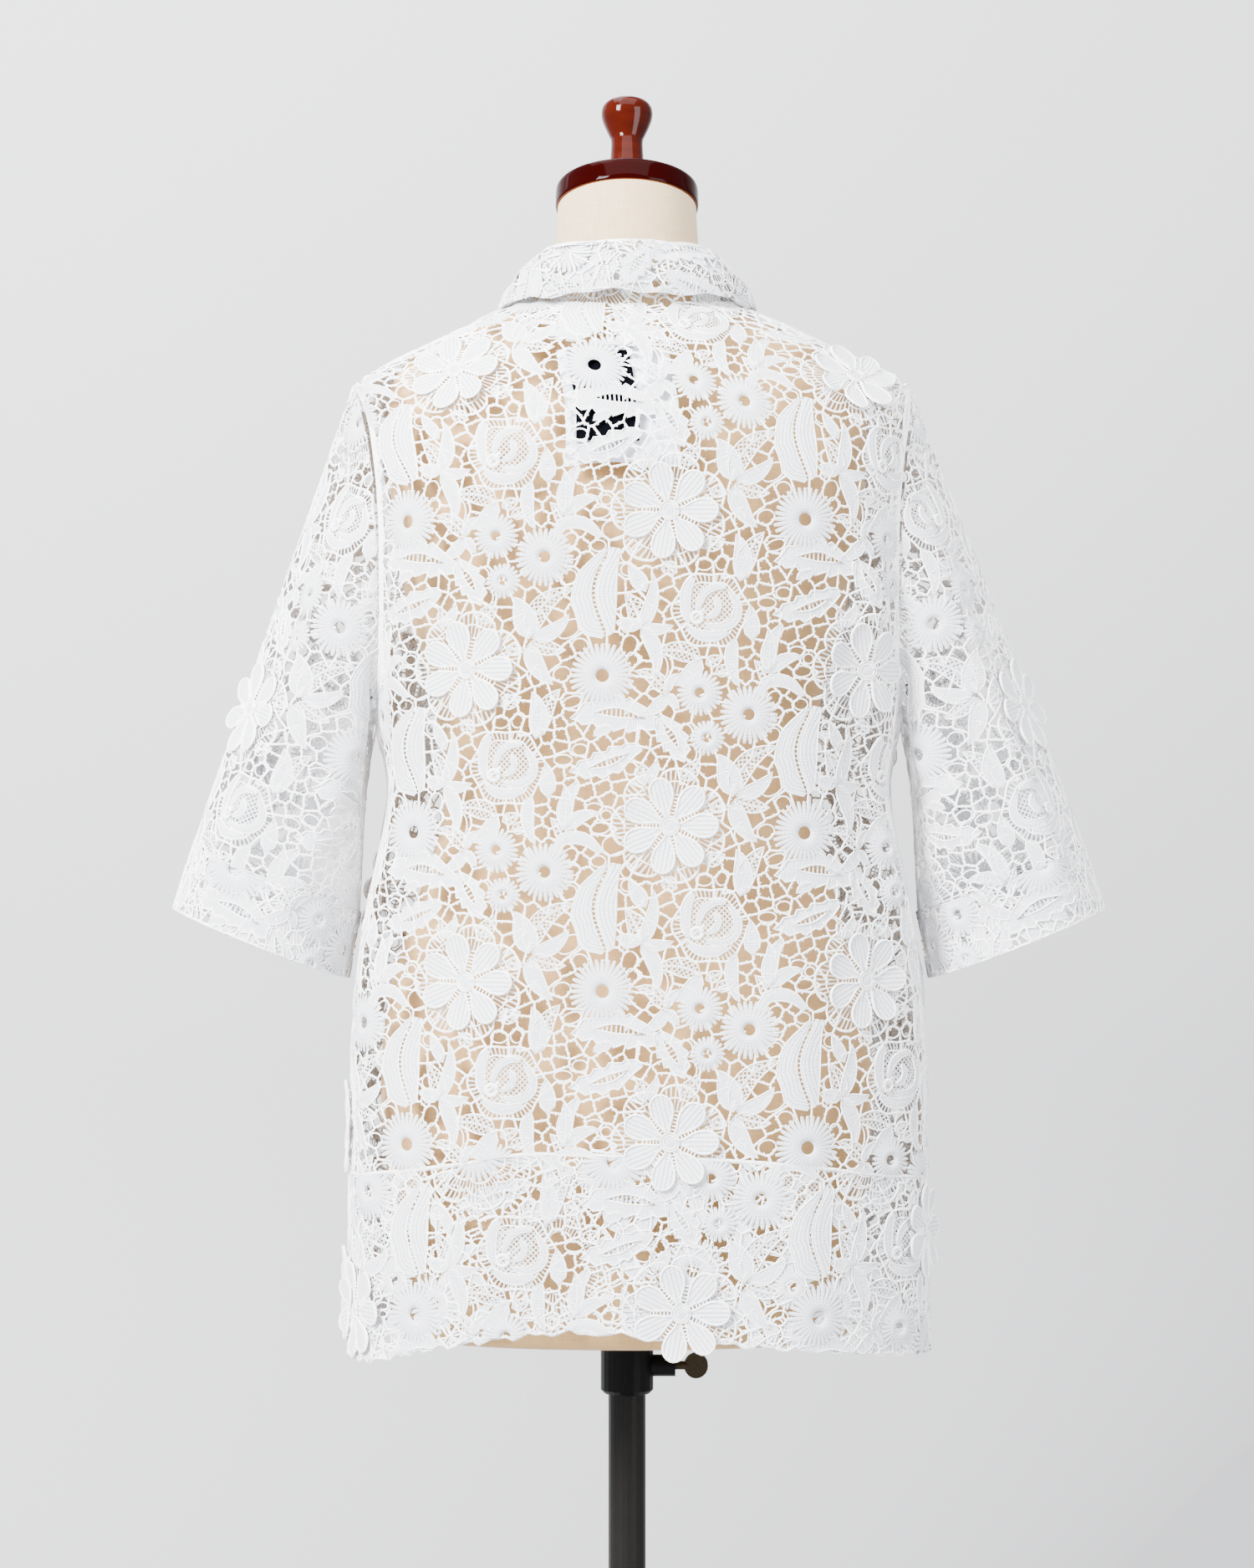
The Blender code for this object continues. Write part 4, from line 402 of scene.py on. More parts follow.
class Chart:
    """Flat motifs: points (x, y, height) with their stitch coordinates, faces, and each face's filling."""

    def __init__(self):
        self.points, self.threads, self.faces, self.fillings, self.outlines = [], [], [], [], []
        self.count = 0

    def add(self, points, threads, faces, filling):
        """Add points with faces counted from the first of them."""
        self.points.append(np.asarray(points, float).reshape(-1, 3))
        self.threads.append(np.asarray(threads, float).reshape(-1, 2))
        self.faces.append(np.asarray(faces, int) + self.count)
        self.fillings.append(np.full(len(faces), filling))
        self.count += len(self.points[-1])

    def strip(self, points, threads, filling, closed=False):
        """A net of quads over rows of points [along, across]; closed joins the last row to the first."""
        rows, columns = points.shape[:2]
        j = np.arange(rows if closed else rows - 1)[:, None]
        i = np.arange(columns - 1)[None]
        k = (j + 1) % rows
        near, far = j * columns + i, k * columns + i
        self.add(points, threads, np.stack([near, far, far + 1, near + 1], axis=-1).reshape(-1, 4), filling)

    def cord(self, line, width, rise, base=GROUND, closed=False, taper=0.0):
        """A rounded thread along a line."""
        line = np.asarray(line, float)
        side = sideways(line, closed)
        run = np.arange(len(line)) / max(len(line) - 1, 1)
        half = width / 2 * (1 - taper * np.abs(2 * run - 1) ** 3)[:, None]
        rows = np.stack([level(line - side * half, base), level(line, base + rise),
                         level(line + side * half, base)], axis=1)
        threads = stitch_places(line_lengths(line), (-width / 2, 0.0, width / 2))
        self.strip(rows, threads, THREAD, closed)

    def leaf(self, foot, tip, width, bend, filling, rise=0.75, edge=1.1):
        """A pointed leaf with a corded edge: two satin halves, or a net with a vein."""
        foot, tip = np.array(foot, float), np.array(tip, float)
        length = np.linalg.norm(tip - foot)
        t = np.linspace(0, 1, max(6, round(length / 3.6)))
        axis = foot + (tip - foot) * t[:, None]
        across = np.array([-(tip - foot)[1], (tip - foot)[0]]) / length
        axis = axis + across * (bend * length * 4 * t * (1 - t))[:, None]
        half = width / 2 * np.sin(math.pi * np.clip(t, 0.0, 1) ** 0.72) ** 0.85 + 0.25
        side = sideways(axis)
        if filling == SATIN:
            shares, heights = (-1, -0.55, -0.1, 0.1, 0.55, 1), (0.3, 0.95, 0.25, 0.25, 0.95, 0.3)
        else:
            shares, heights = (-1, -0.5, 0, 0.5, 1), (0.2, 0.35, 0.4, 0.35, 0.2)
        rows = rows_across(axis, side, half, shares, [GROUND + rise * h for h in heights])
        self.strip(rows, stitch_places(t * length, half[:, None] * np.array(shares)), filling)
        left, right = axis - side * half[:, None], axis + side * half[:, None]
        ring = np.concatenate([left, right[::-1][1:-1]])
        self.cord(ring, edge, rise + 0.25, closed=True)
        if filling == NET:
            self.cord(axis, 1.0, rise, taper=0.5)
        else:
            vein = axis[1:-1]
            rows = np.stack([level(vein + side[1:-1] * s, GROUND + rise * 0.62)
                             for s in (-0.55, 0.55)], axis=1)
            self.strip(rows, stitch_places(t[1:-1] * length, (0.0, 1.1)), LADDER)
        self.outlines.append(ring)

    def fill(self, outline, rise, space, filling, turn=0.0, hole=None):
        """A softly domed filling of an outline, open inside the hole's outline."""
        low, high = outline.min(axis=0), outline.max(axis=0)
        rows = enumerate(np.arange(low[1], high[1], space * 0.87))
        grid = np.array([(x + (j % 2) * space / 2, y)
                         for j, y in rows for x in np.arange(low[0], high[0], space)])
        grid = grid[inside(grid, outline)]
        away = np.linalg.norm(grid - nearest_on(grid, outline), axis=1) if len(grid) else np.zeros(0)
        grid, away = grid[away > space * 0.4], away[away > space * 0.4]
        loops = [outline] if hole is None else [outline, hole]
        if hole is not None and len(grid):
            grid = grid[~inside(grid, hole) & (np.linalg.norm(grid - nearest_on(grid, hole), axis=1) > 1.5)]
        flat = np.concatenate([*loops, grid])
        edges = [(i, (i + 1) % len(outline)) for i in range(len(outline))]
        if hole is not None:
            edges += [(len(outline) + i, len(outline) + (i + 1) % len(hole)) for i in range(len(hole))]
        verts, _, tris, _, _, _ = delaunay_2d_cdt([Vector(p) for p in flat], edges, [], 0, 1e-6)
        places = np.array([tuple(v) for v in verts])
        tris = np.array(tris)
        tris = tris[inside(places[tris].mean(axis=1), outline)]
        if hole is not None:
            tris = tris[~inside(places[tris].mean(axis=1), hole)]
        height = np.full(len(places), GROUND)
        inner = np.linalg.norm(places - nearest_on(places, outline), axis=1)
        height += rise * np.sqrt(np.clip(inner / (2.5 * space), 0, 1))
        c, s = math.cos(math.radians(turn)), math.sin(math.radians(turn))
        threads = np.stack([places[:, 0] * c + places[:, 1] * s, places[:, 1] * c - places[:, 0] * s], axis=1)
        self.add(np.hstack([places, height[:, None]]), threads, np.hstack([tris, tris[:, :1]]), filling)

    def sunburst(self, middle, radius, hole, spokes):
        """A padded round with a hole, breaking into spokes."""
        radii = np.array((hole, hole + 1.0, hole + (radius - hole) * 0.28,
                          radius * 0.62, radius * 0.84, radius))
        ridge = np.array((0.5, 1.9, 2.1, 1.5, 1.05, 0.6))
        valley = np.array((0.3, 1.5, 1.6, 0.9, 0.45, 0.2))
        full = math.pi / spokes * radii
        half = np.minimum(full * np.array((1, 1, 1, 0.95, 0.78, 0.42)), 1.35 + 0 * full)
        half[:3] = full[:3]
        for k in range(spokes):
            turn = 2 * math.pi * k / spokes
            reach = radii * (1 + 0.02 * math.sin(5 * turn))
            reach[:3] = radii[:3]
            out, side = spoke(turn)
            rows = rows_across(middle + out * reach[:, None], side, half, (-1, 0, 1),
                               (GROUND + valley, GROUND + ridge, GROUND + valley))
            self.strip(rows, stitch_places(reach, half[:, None] * np.array((-1, 0, 1))), SATIN)
        self.outlines.append(middle + radius * 0.93 * circle(spokes))

    def finish(self):
        """Arrays of the whole chart."""
        return (np.concatenate(self.points), np.concatenate(self.threads), np.concatenate(self.faces),
                np.concatenate(self.fillings))


def ellipse(x, y, half_length, half_width, turn, count=16, grow=0.0):
    """Outline of a gap."""
    a = np.arange(count) * 2 * math.pi / count
    c, s = math.cos(math.radians(turn)), math.sin(math.radians(turn))
    u, v = (half_length + grow) * np.cos(a), (half_width + grow) * np.sin(a)
    return np.stack([x + u * c - v * s, y + u * s + v * c], axis=1)


def serrated_leaf(chart, root, tip, width, bend, teeth):
    """A long leaf with toothed edges and a lens of bars in the middle."""
    root, tip = np.array(root, float), np.array(tip, float)
    length = np.linalg.norm(tip - root)
    across = np.array([-(tip - root)[1], (tip - root)[0]]) / length
    places = np.linspace(0, 1, 2 * teeth + 2)
    sides = []
    for sign in (-1, 1):
        half = width / 2 * np.sin(math.pi * np.clip(places, 0.02, 1) ** 0.8) ** 0.7
        half[2:-1:2] *= 0.72
        half[-1] = 0
        line = root + (tip - root) * places[:, None] + across * (
            bend * length * 4 * places * (1 - places) + sign * half)[:, None]
        line[1:-1:2] += (tip - root) / length * 2.5
        sides.append(line)
    outline = np.concatenate([sides[0], sides[1][::-1][1:]])
    fine = []
    for a, b in zip(outline, np.roll(outline, -1, axis=0)):
        fine += [a, (a + b) / 2]
    outline = np.array(fine)
    chart.outlines.append(outline)
    turn = math.degrees(math.atan2((tip - root)[1], (tip - root)[0]))
    t = np.linspace(0.16, 0.74, 9)
    middle = root + (tip - root) * t[:, None] + across * (bend * length * 4 * t * (1 - t))[:, None]
    wide = (width * 0.13 * np.sin(math.pi * (t - 0.16) / 0.58))[:, None]
    upper, lower = middle + across * wide, middle - across * wide
    lens = np.concatenate([upper, lower[::-1][1:-1]])
    chart.fill(outline, 0.8, 4.5, SATIN, turn, lens)
    chart.cord(outline, 1.1, 1.1, closed=True)
    chart.cord(lens, 1.2, 1.1, GROUND + 0.3, closed=True)
    rows = np.stack([level(line, GROUND + 0.3) for line in (upper, lower)], axis=1)
    chart.strip(rows, stitch_places(t * length, (0.0, 5.0)), LADDER)


def band(chart, line, width, filling, rise=0.8, edge=1.1):
    """A curved band with corded edges."""
    side = sideways(line)
    run = np.linspace(0, 1, len(line))
    half = width / 2 * np.sin(math.pi * np.clip(run, 0.04, 0.96)) ** 0.45
    heights = (0.4, 1.0, 0.9, 1.0, 0.4) if filling == SATIN else (0.2, 0.3, 0.3, 0.3, 0.2)
    shares = (-1, -0.5, 0, 0.5, 1)
    rows = rows_across(line, side, half, shares, [GROUND + rise * h for h in heights])
    chart.strip(rows, stitch_places(line_lengths(line), half[:, None] * np.array(shares)), filling)
    ring = np.concatenate([line - side * half[:, None], (line + side * half[:, None])[::-1]])
    chart.cord(ring, edge, rise + 0.3, closed=True)
    chart.outlines.append(ring)


def rose(chart):
    """A rose: a ring of bars round curled bands."""
    turns = np.arange(ROSE_POINTS) * 2 * math.pi / ROSE_POINTS
    wave = ROSE_RADIUS * (1 + 0.06 * np.cos(6 * turns))
    ring = np.array(ROSE) + wave[:, None] * circle(ROSE_POINTS)
    chart.cord(ring, 1.5, 1.0, closed=True)
    chart.outlines.append(ring)
    rings = [np.array(ROSE) + (ring - ROSE) * share for share in (1.0, 0.88, 0.76)]
    rows = np.stack([level(r, GROUND + 0.2) for r in rings], axis=1)
    chart.strip(rows, stitch_places(turns * ROSE_RADIUS, (0.0, 3.0, 6.0)), LADDER)
    core = np.array(ROSE) + (ring - ROSE) * 0.76
    chart.cord(core, 1.1, 0.7, closed=True)
    chart.fill(core[::3], 0.1, 9.0, NET)
    for width, places in ROSE_BANDS:
        band(chart, np.array(ROSE) + curve_through(places, 10), width, SATIN, 1.0)
    curl = circle(14) * ROSE_CURL_RADIUS + np.array(ROSE) + ROSE_CURL
    chart.cord(curl, 2.6, 1.5, GROUND + 0.4, closed=True)


def pod(chart):
    """A crescent pod: two ribbed blades with a row of holes between."""
    holes = curve_through(POD_HOLES, POD_POINTS)
    along = np.linspace(0, POD_LENGTH, POD_POINTS)
    for edge, gap, share in ((POD_LEFT, -1.4, -1), (POD_RIGHT, 1.4, 1)):
        outer = curve_through(edge, POD_POINTS)
        inner = holes + np.array((gap, 0))
        shares = np.linspace(0, 1, 6)[:, None, None]
        flat = np.moveaxis(inner * (1 - shares) + outer * shares, 0, 1)
        heights = GROUND + np.array((0.5, 1.1, 1.0, 0.6, 1.0, 0.4))
        rows = np.concatenate([flat, np.tile(heights[None, :, None], (POD_POINTS, 1, 1))], axis=2)
        wide = np.linalg.norm(outer - inner, axis=1)
        chart.strip(rows[:, ::share], stitch_places(along, wide[:, None] * np.linspace(0, 1, 6)), LANES)
        chart.cord(outer, 1.2, 1.2)
        chart.cord(inner, 0.8, 1.0)
    ring = np.concatenate([curve_through(POD_LEFT, POD_POINTS), curve_through(POD_RIGHT, 10)[::-1]])
    chart.outlines.append(ring)
    rows = np.stack([level(holes + (s, 0), GROUND + 0.3) for s in (-1.4, 1.4)], axis=1)
    chart.strip(rows, stitch_places(along, (0.0, 2.8)), LADDER)
    chart.cord(np.concatenate([ring[:1], ring[-1:]]), 1.0, 0.9)


def flower_ground(chart):
    """What lies flat under the large flower: a scalloped ring on bars."""
    turns = np.arange(SCALLOP_POINTS) * 2 * math.pi / SCALLOP_POINTS
    reach = SCALLOP_RADIUS + SCALLOP_DEPTH * np.abs(np.sin(PETALS / 2 * turns)) ** 0.6
    ring = reach[:, None] * circle(SCALLOP_POINTS)
    chart.cord(ring, 1.7, 0.9, closed=True)
    rings = [ring * share for share in (1.0, 0.8, 0.55)]
    rows = np.stack([level(r, GROUND + 0.2) for r in rings], axis=1)
    chart.strip(rows, stitch_places(turns * SCALLOP_RADIUS, (0.0, 7.0, 15.0)), LADDER)
    chart.cord(ring * 0.55, 1.2, 0.6, closed=True)
    chart.cord(ring * 0.78, 1.0, 0.6, closed=True)
    chart.outlines.append(ring)


def wrap_cell(points):
    """Shares of the two steps for places in the repeat, each from 0 to 1."""
    i = points[:, 0] / STEP_ACROSS[0]
    j = (points[:, 1] - i * STEP_ACROSS[1]) / STEP_DOWN[1]
    return np.stack([i, j], axis=1)


def neighbours():
    """Shifts to the repeats round one repeat."""
    return [a * STEP_ACROSS + b * STEP_DOWN for a in (-1, 0, 1) for b in (-1, 0, 1)] + [
        2 * STEP_ACROSS + STEP_DOWN, -2 * STEP_ACROSS - STEP_DOWN]


def ground_net(chart, draw):
    """Bars with small knots between the motifs, round the gaps."""
    shifts = neighbours()
    motifs = [outline + shift for outline in chart.outlines for shift in shifts]

    def covered(points):
        hit = np.zeros(len(points), bool)
        for outline in motifs:
            box = np.all((points > outline.min(axis=0)) & (points < outline.max(axis=0)), axis=1)
            if box.any():
                hit[box] |= inside(points[box], outline)
        return hit

    seeds = [np.array(gap[:2]) for gap in GAPS]
    tries = draw.random((SEED_TRIES, 2))
    tries = tries[:, :1] * STEP_ACROSS + tries[:, 1:] * STEP_DOWN
    tries = tries[~covered(tries)]
    for place in tries:
        near = np.array([seed + shift for seed in seeds[-SEEDS_COMPARED:] for shift in shifts]) - place
        room = np.linalg.norm(near, axis=1).min()
        if room > SEED_SPACE and all(np.hypot(*(place - np.array(gap[:2]) - shift)) > gap[2] + GAP_CLEARANCE
                                     for gap in GAPS for shift in shifts):
            seeds.append(place)
    cloud = np.array([seed + shift for seed in seeds for shift in shifts])
    verts, _, tris, _, _, _ = delaunay_2d_cdt([Vector(p) for p in cloud], [], [], 0, 1e-6)
    p = np.array([tuple(v) for v in verts])
    tris = np.array(tris)
    a, b, c = p[tris[:, 0]], p[tris[:, 1]], p[tris[:, 2]]
    d = 2 * (a[:, 0] * (b[:, 1] - c[:, 1]) + b[:, 0] * (c[:, 1] - a[:, 1]) + c[:, 0] * (a[:, 1] - b[:, 1]))
    aa, bb, cc = (a**2).sum(1), (b**2).sum(1), (c**2).sum(1)
    centre_x = (aa * (b[:, 1] - c[:, 1]) + bb * (c[:, 1] - a[:, 1]) + cc * (a[:, 1] - b[:, 1])) / d
    centre_y = (aa * (c[:, 0] - b[:, 0]) + bb * (a[:, 0] - c[:, 0]) + cc * (b[:, 0] - a[:, 0])) / d
    centre = np.stack([centre_x, centre_y], axis=1)
    gap_rings = [ellipse(*gap[:5], grow=-0.3) + shift for gap in GAPS for shift in shifts]
    sides = {}
    for number, tri in enumerate(tris):
        for k in range(3):
            sides.setdefault(tuple(sorted((tri[k], tri[(k + 1) % 3]))), []).append(number)
    for pair in sides.values():
        if len(pair) != 2:
            continue
        start, end = centre[pair[0]], centre[pair[1]]
        length = np.linalg.norm(end - start)
        middle = (start + end) / 2
        cell = wrap_cell(middle[None])[0]
        if not (0 <= cell[0] < 1 and 0 <= cell[1] < 1 and BAR_SHORTEST <= length <= BAR_LONGEST):
            continue
        line = start + (end - start) * np.linspace(0, 1, 3 if length < STRAIGHT_BAR else 4)[:, None]
        if covered((start + (end - start) * np.linspace(0.15, 0.85, 4)[:, None])).all():
            continue
        if any(inside(middle[None], ring)[0] for ring in gap_rings):
            continue
        bend = np.sin(math.pi * np.linspace(0, 1, len(line)))[:, None]
        bow = sideways(line) * (0.35 * np.sin(length * 7)) * bend
        chart.cord(line + bow, 1.45, 0.75)
        across = sideways(line)[0]
        for share, sign in KNOTS if length > KNOTLESS_BAR else ():
            knot = start + (end - start) * share + across * 0.75 * sign
            ends = np.array((knot - across * 0.5 * sign, knot + across * 0.55 * sign))
            chart.cord(ends, 0.85, 0.6, GROUND + 0.1)
    for gap in GAPS:
        chart.cord(ellipse(*gap, grow=0.45), 1.0, 0.7, closed=True)


def lace_repeat():
    """The flat chart of one repeat, without the raised flower."""
    chart = Chart()
    flower_ground(chart)
    rose(chart)
    pod(chart)
    for x, y, radius, hole, spokes in SUNBURSTS:
        chart.sunburst(np.array((x, y)), radius, hole, spokes)
    for row in SERRATED:
        serrated_leaf(chart, row[:2], row[2:4], *row[4:])
    for row in LEAVES:
        chart.leaf(row[:2], row[2:4], *row[4:])
    band(chart, curve_through(ARCHED_LEAF, 9), 8.0, SATIN)
    ground_net(chart, np.random.default_rng(7))
    return chart.finish()


def flat_middle():
    """A sunburst that closes the large flower's ring where the flower itself would pass an edge."""
    chart = Chart()
    chart.sunburst(np.zeros(2), *MIDDLE_BURST)
    return chart.finish()


def raised_flower():
    """The thick flower of ribbed petals that stands on the lace."""
    chart = Chart()
    shares = np.array((-1, -0.62, -0.2, 0.2, 0.62, 1))
    dip = np.array((0.15, 0.35, 0.45, 0.45, 0.35, 0.15))
    for petal in range(PETALS):
        turn = 2 * math.pi * (petal + 0.035 * math.sin(petal * 2.3)) / PETALS
        out, side = spoke(turn)
        t = np.array((0, 0.14, 0.3, 0.48, PETAL_WIDEST, 0.8, 0.9, 0.965, 1.0))
        radius = PETAL_FOOT + (PETAL_REACH - PETAL_FOOT) * t
        grow = np.sin(math.pi / 2 * np.clip(t / PETAL_WIDEST, 0, 1)) ** 1.05
        tip = np.sqrt(np.clip(1 - (np.clip(t - PETAL_WIDEST, 0, 1) / (1 - PETAL_WIDEST)) ** 2, 0.006, 1))
        half = np.maximum(PETAL_HALF * grow * tip, 0.9)
        half[0] = 1.5
        lift = 1.7 + 0.5 * (petal % 2) + 1.6 * t**2 + 0.4 * math.sin(petal * 1.7)
        rows = rows_across(out * radius[:, None], side, half, shares, [lift + d for d in dip])
        chart.strip(rows, stitch_places(radius, half[:, None] * shares), LANES)
        ring = np.concatenate([rows[:, 0], rows[:, -1][::-1]])
        line, high = ring[:, :2], ring[:, 2]
        across = sideways(line, True) * 0.85
        edge = np.stack([level(line - across, high - 0.5), level(line, high + 1.1),
                         level(line + across, high - 0.5)], axis=1)
        chart.strip(edge, stitch_places(np.arange(len(line), dtype=float) * 3, (-1.0, 0.0, 1.0)), THREAD,
                    closed=True)
    for petal in range(PETALS):
        turn = 2 * math.pi * (petal + 0.5) / PETALS
        out, side = spoke(turn)
        for radius in PETAL_BARS:
            half = radius * math.pi / PETALS * 0.42
            chart.cord(np.array((out * radius - side * half, out * radius + side * half)), 1.1, 0.8, 1.7)
    ring = circle(20)
    chart.cord(ring * 6.1, 1.3, 1.3, 2.4, closed=True)
    chart.cord(ring * 4.4, 1.2, 0.9, 2.7, closed=True)
    rows = np.stack([level(ring * r, h) for r, h in ((0.2, 3.3), (2.6, 3.2), (6.0, 2.3))], axis=1)
    chart.strip(rows, rows[..., :2], SATIN, closed=True)
    return chart.finish()


def smooth_row(places, table, column):
    """Values of a table's column at the places, on a smooth curve through its rows without overshoot."""
    rows = np.array(sorted(table), dtype=float)
    xs, ys = rows[:, 0], rows[:, column]
    rises = np.diff(ys) / np.diff(xs)
    slopes = np.concatenate([rises[:1], np.zeros(len(xs) - 2), rises[-1:]])
    same = rises[:-1] * rises[1:] > 0
    total = np.where(same, rises[:-1] + rises[1:], 1.0)
    slopes[1:-1] = np.where(same, 2 * rises[:-1] * rises[1:] / total, 0.0)
    at = np.clip(np.asarray(places, dtype=float), xs[0], xs[-1])
    low = np.clip(np.searchsorted(xs, at, side="right") - 1, 0, len(xs) - 2)
    step = xs[low + 1] - xs[low]
    f = (at - xs[low]) / step
    return ((2 * f**3 - 3 * f**2 + 1) * ys[low] + (f**3 - 2 * f**2 + f) * step * slopes[low]
            + (-2 * f**3 + 3 * f**2) * ys[low + 1] + (f**3 - f**2) * step * slopes[low + 1])


def soft_step(f):
    """0 to 1 with soft ends."""
    f = np.clip(f, 0.0, 1.0)
    return f * f * (3 - 2 * f)


def sway_at(z):
    """How far the shirt hangs to one side at a height."""
    return SWAY * soft_step((SWAY_TOP - z) / SWAY_RUN)


def shoulder_height(x):
    """Height of the shoulder line at a distance from the middle."""
    x = np.abs(x)
    root = SHOULDER_SLOPE * NECK_ROOT / 2
    return np.where(x > NECK_ROOT, SHOULDER_Z - SHOULDER_SLOPE * (x - NECK_ROOT),
                    SHOULDER_Z + root * (1 - (x / NECK_ROOT) ** 2))


def section_shares(u):
    """Shares of the half width and of the depth at u, 0 at the middle and 1 at the side."""
    turn = np.clip(np.abs(u), 0, 1) * math.pi / 2
    return np.sin(turn) ** (2 / SQUARE), np.maximum(np.cos(turn), 0.0) ** (2 / SQUARE)


def body_shape(side):
    """The worn body's form by u, across, and v, down: 0 at the shoulder, 1 where it hangs straight."""
    drop = SHOULDER_DROP[side]

    def shape(u, v):
        width_share, depth_share = section_shares(u)
        chest_x = CHEST * width_share
        turn = np.clip(v, 0, 1) * math.pi / 2
        hang_z = shoulder_height(chest_x) - drop
        z = np.where(v < 1, shoulder_height(chest_x) - drop * (1 - np.cos(turn)),
                     hang_z + (CLOTH_END - hang_z) * (v - 1))
        x = np.where(v < 1, chest_x, smooth_row(z, SIDE_OUTLINE, 1) * width_share)
        depth = smooth_row(z, DEPTHS, 1 if side == BACK else 2)
        y = side * (depth * depth_share * np.sin(turn) + HALF_SEAM)
        return np.stack([-side * np.sign(u) * x + sway_at(z), y, z], axis=-1)

    return shape


def body_width(z):
    """Half the body's width at a height."""
    return np.where(z > STRAIGHT_ABOVE, CHEST, smooth_row(z, SIDE_OUTLINE, 1))


def body_place(side, x, z):
    """u and v of the body's form at a distance from the middle and a height."""
    share = np.clip(np.abs(x) / body_width(z), 0, 1)
    u = np.sign(x) * np.arcsin(share ** (SQUARE / 2)) * 2 / math.pi
    chest_x = CHEST * share
    below = (shoulder_height(chest_x) - z) / SHOULDER_DROP[side]
    hang_z = shoulder_height(chest_x) - SHOULDER_DROP[side]
    v = np.where(below < 1, np.arccos(np.clip(1 - below, -1, 1)) * 2 / math.pi,
                 1 + (hang_z - z) / (hang_z - CLOTH_END))
    return u, v


def lengths_along(points, axis):
    """Length along a grid's rows or columns of points, from its first one on."""
    steps = np.linalg.norm(np.diff(points, axis=axis), axis=2)
    return np.pad(np.cumsum(steps, axis=axis), ((0, 0), (1, 0)) if axis == 1 else ((1, 0), (0, 0)))


class Cloth:
    """Cloth on a form: matches flat lengths (s, t) with the form's own u and v, and gives places in space.
    The length s runs level from the middle, and t down the cloth from one level."""

    def __init__(self, shape, folds, facing=1):
        self.shape = shape
        self.folds = folds
        self.facing = facing
        self.us = np.linspace(-1, 1, GRID_STEPS + 1)
        self.vs = np.linspace(0, 2, GRID_STEPS + 1)
        self.grid = np.meshgrid(self.us, self.vs)
        self.measure(shape(*self.grid))

    def measure(self, points):
        """Find the flat lengths at the grid's points."""
        s = lengths_along(points[..., :2], 1)
        self.s = s - s[:, GRID_MIDDLE:GRID_MIDDLE + 1]
        t = lengths_along(points, 0)
        self.t = t - [np.interp(-LEVEL, -points[:, i, 2], t[:, i]) for i in range(GRID_STEPS + 1)]

    def read(self, table, u, share):
        """A table's value between its grid points, at u and a share of the way down its rows."""
        i = np.clip((np.asarray(u) + 1) / 2, 0, 1) * GRID_STEPS
        j = np.clip(np.asarray(share), 0, 1) * GRID_STEPS
        i0, j0 = np.minimum(i.astype(int), GRID_STEPS - 1), np.minimum(j.astype(int), GRID_STEPS - 1)
        fi, fj = i - i0, j - j0
        return ((table[j0, i0] * (1 - fi) + table[j0, i0 + 1] * fi) * (1 - fj)
                + (table[j0 + 1, i0] * (1 - fi) + table[j0 + 1, i0 + 1] * fi) * fj)

    def slope(self, table, u, share, du, dv):
        """How fast a table's value grows with u or v, never less than a little."""
        ahead, behind = self.read(table, u + du, share + dv / 2), self.read(table, u - du, share - dv / 2)
        return np.maximum((ahead - behind) / (2 * (du + dv)), LEAST_SLOPE)

    def flat(self, u, v):
        """Flat place of the form's u and v."""
        return self.read(self.s, u, np.asarray(v) / 2), self.read(self.t, u, np.asarray(v) / 2)

    def lay(self, s, t):
        """The form's u and v of a flat place."""
        u = np.clip(np.asarray(s, float) / self.s[GRID_MIDDLE, -1], -1, 1)
        v = np.full_like(u, 1.0)
        for _ in range(LAY_ROUNDS):
            s_now, t_now = self.flat(u, v)
            s_slope = self.slope(self.s, u, v / 2, SLOPE_STEP, 0)
            t_slope = self.slope(self.t, u, v / 2, 0, SLOPE_STEP)
            u = np.clip(u + LAY_STEP * (s - s_now) / s_slope, -1, 1)
            v = np.clip(v + LAY_STEP * (t - t_now) / t_slope, 0, 2)
        return u, v

    def normal(self, u, v):
        """Outward direction of the form."""
        small = NORMAL_STEP
        uc, vc = np.clip(u, -1 + small, 1 - small), np.clip(v, small, 2 - small)
        du = self.shape(uc + small, vc) - self.shape(uc - small, vc)
        dv = self.shape(uc, vc + small) - self.shape(uc, vc - small)
        n = self.facing * np.cross(dv, du)
        return n / np.linalg.norm(n, axis=-1, keepdims=True)

    def fold_height(self, u, v):
        """How far the folds stand out."""
        s, t = self.flat(u, v)
        height = np.zeros_like(s)
        for s0, t0, s1, t1, high, half in self.folds:
            f = (t - t0) / (t1 - t0)
            line = s0 + (s1 - s0) * f
            shares = soft_step(f * FOLD_RISE) * soft_step((FOLD_END - f) * FOLD_FADE)
            height += high * np.exp(-((s - line) / half) ** 2) * shares
        return height

    def at(self, u, v, height=0.0):
        """Places in space, so far outside the cloth's inner face."""
        out = np.asarray(self.fold_height(u, v) + height)[..., None]
        return self.shape(u, v) + self.normal(u, v) * out


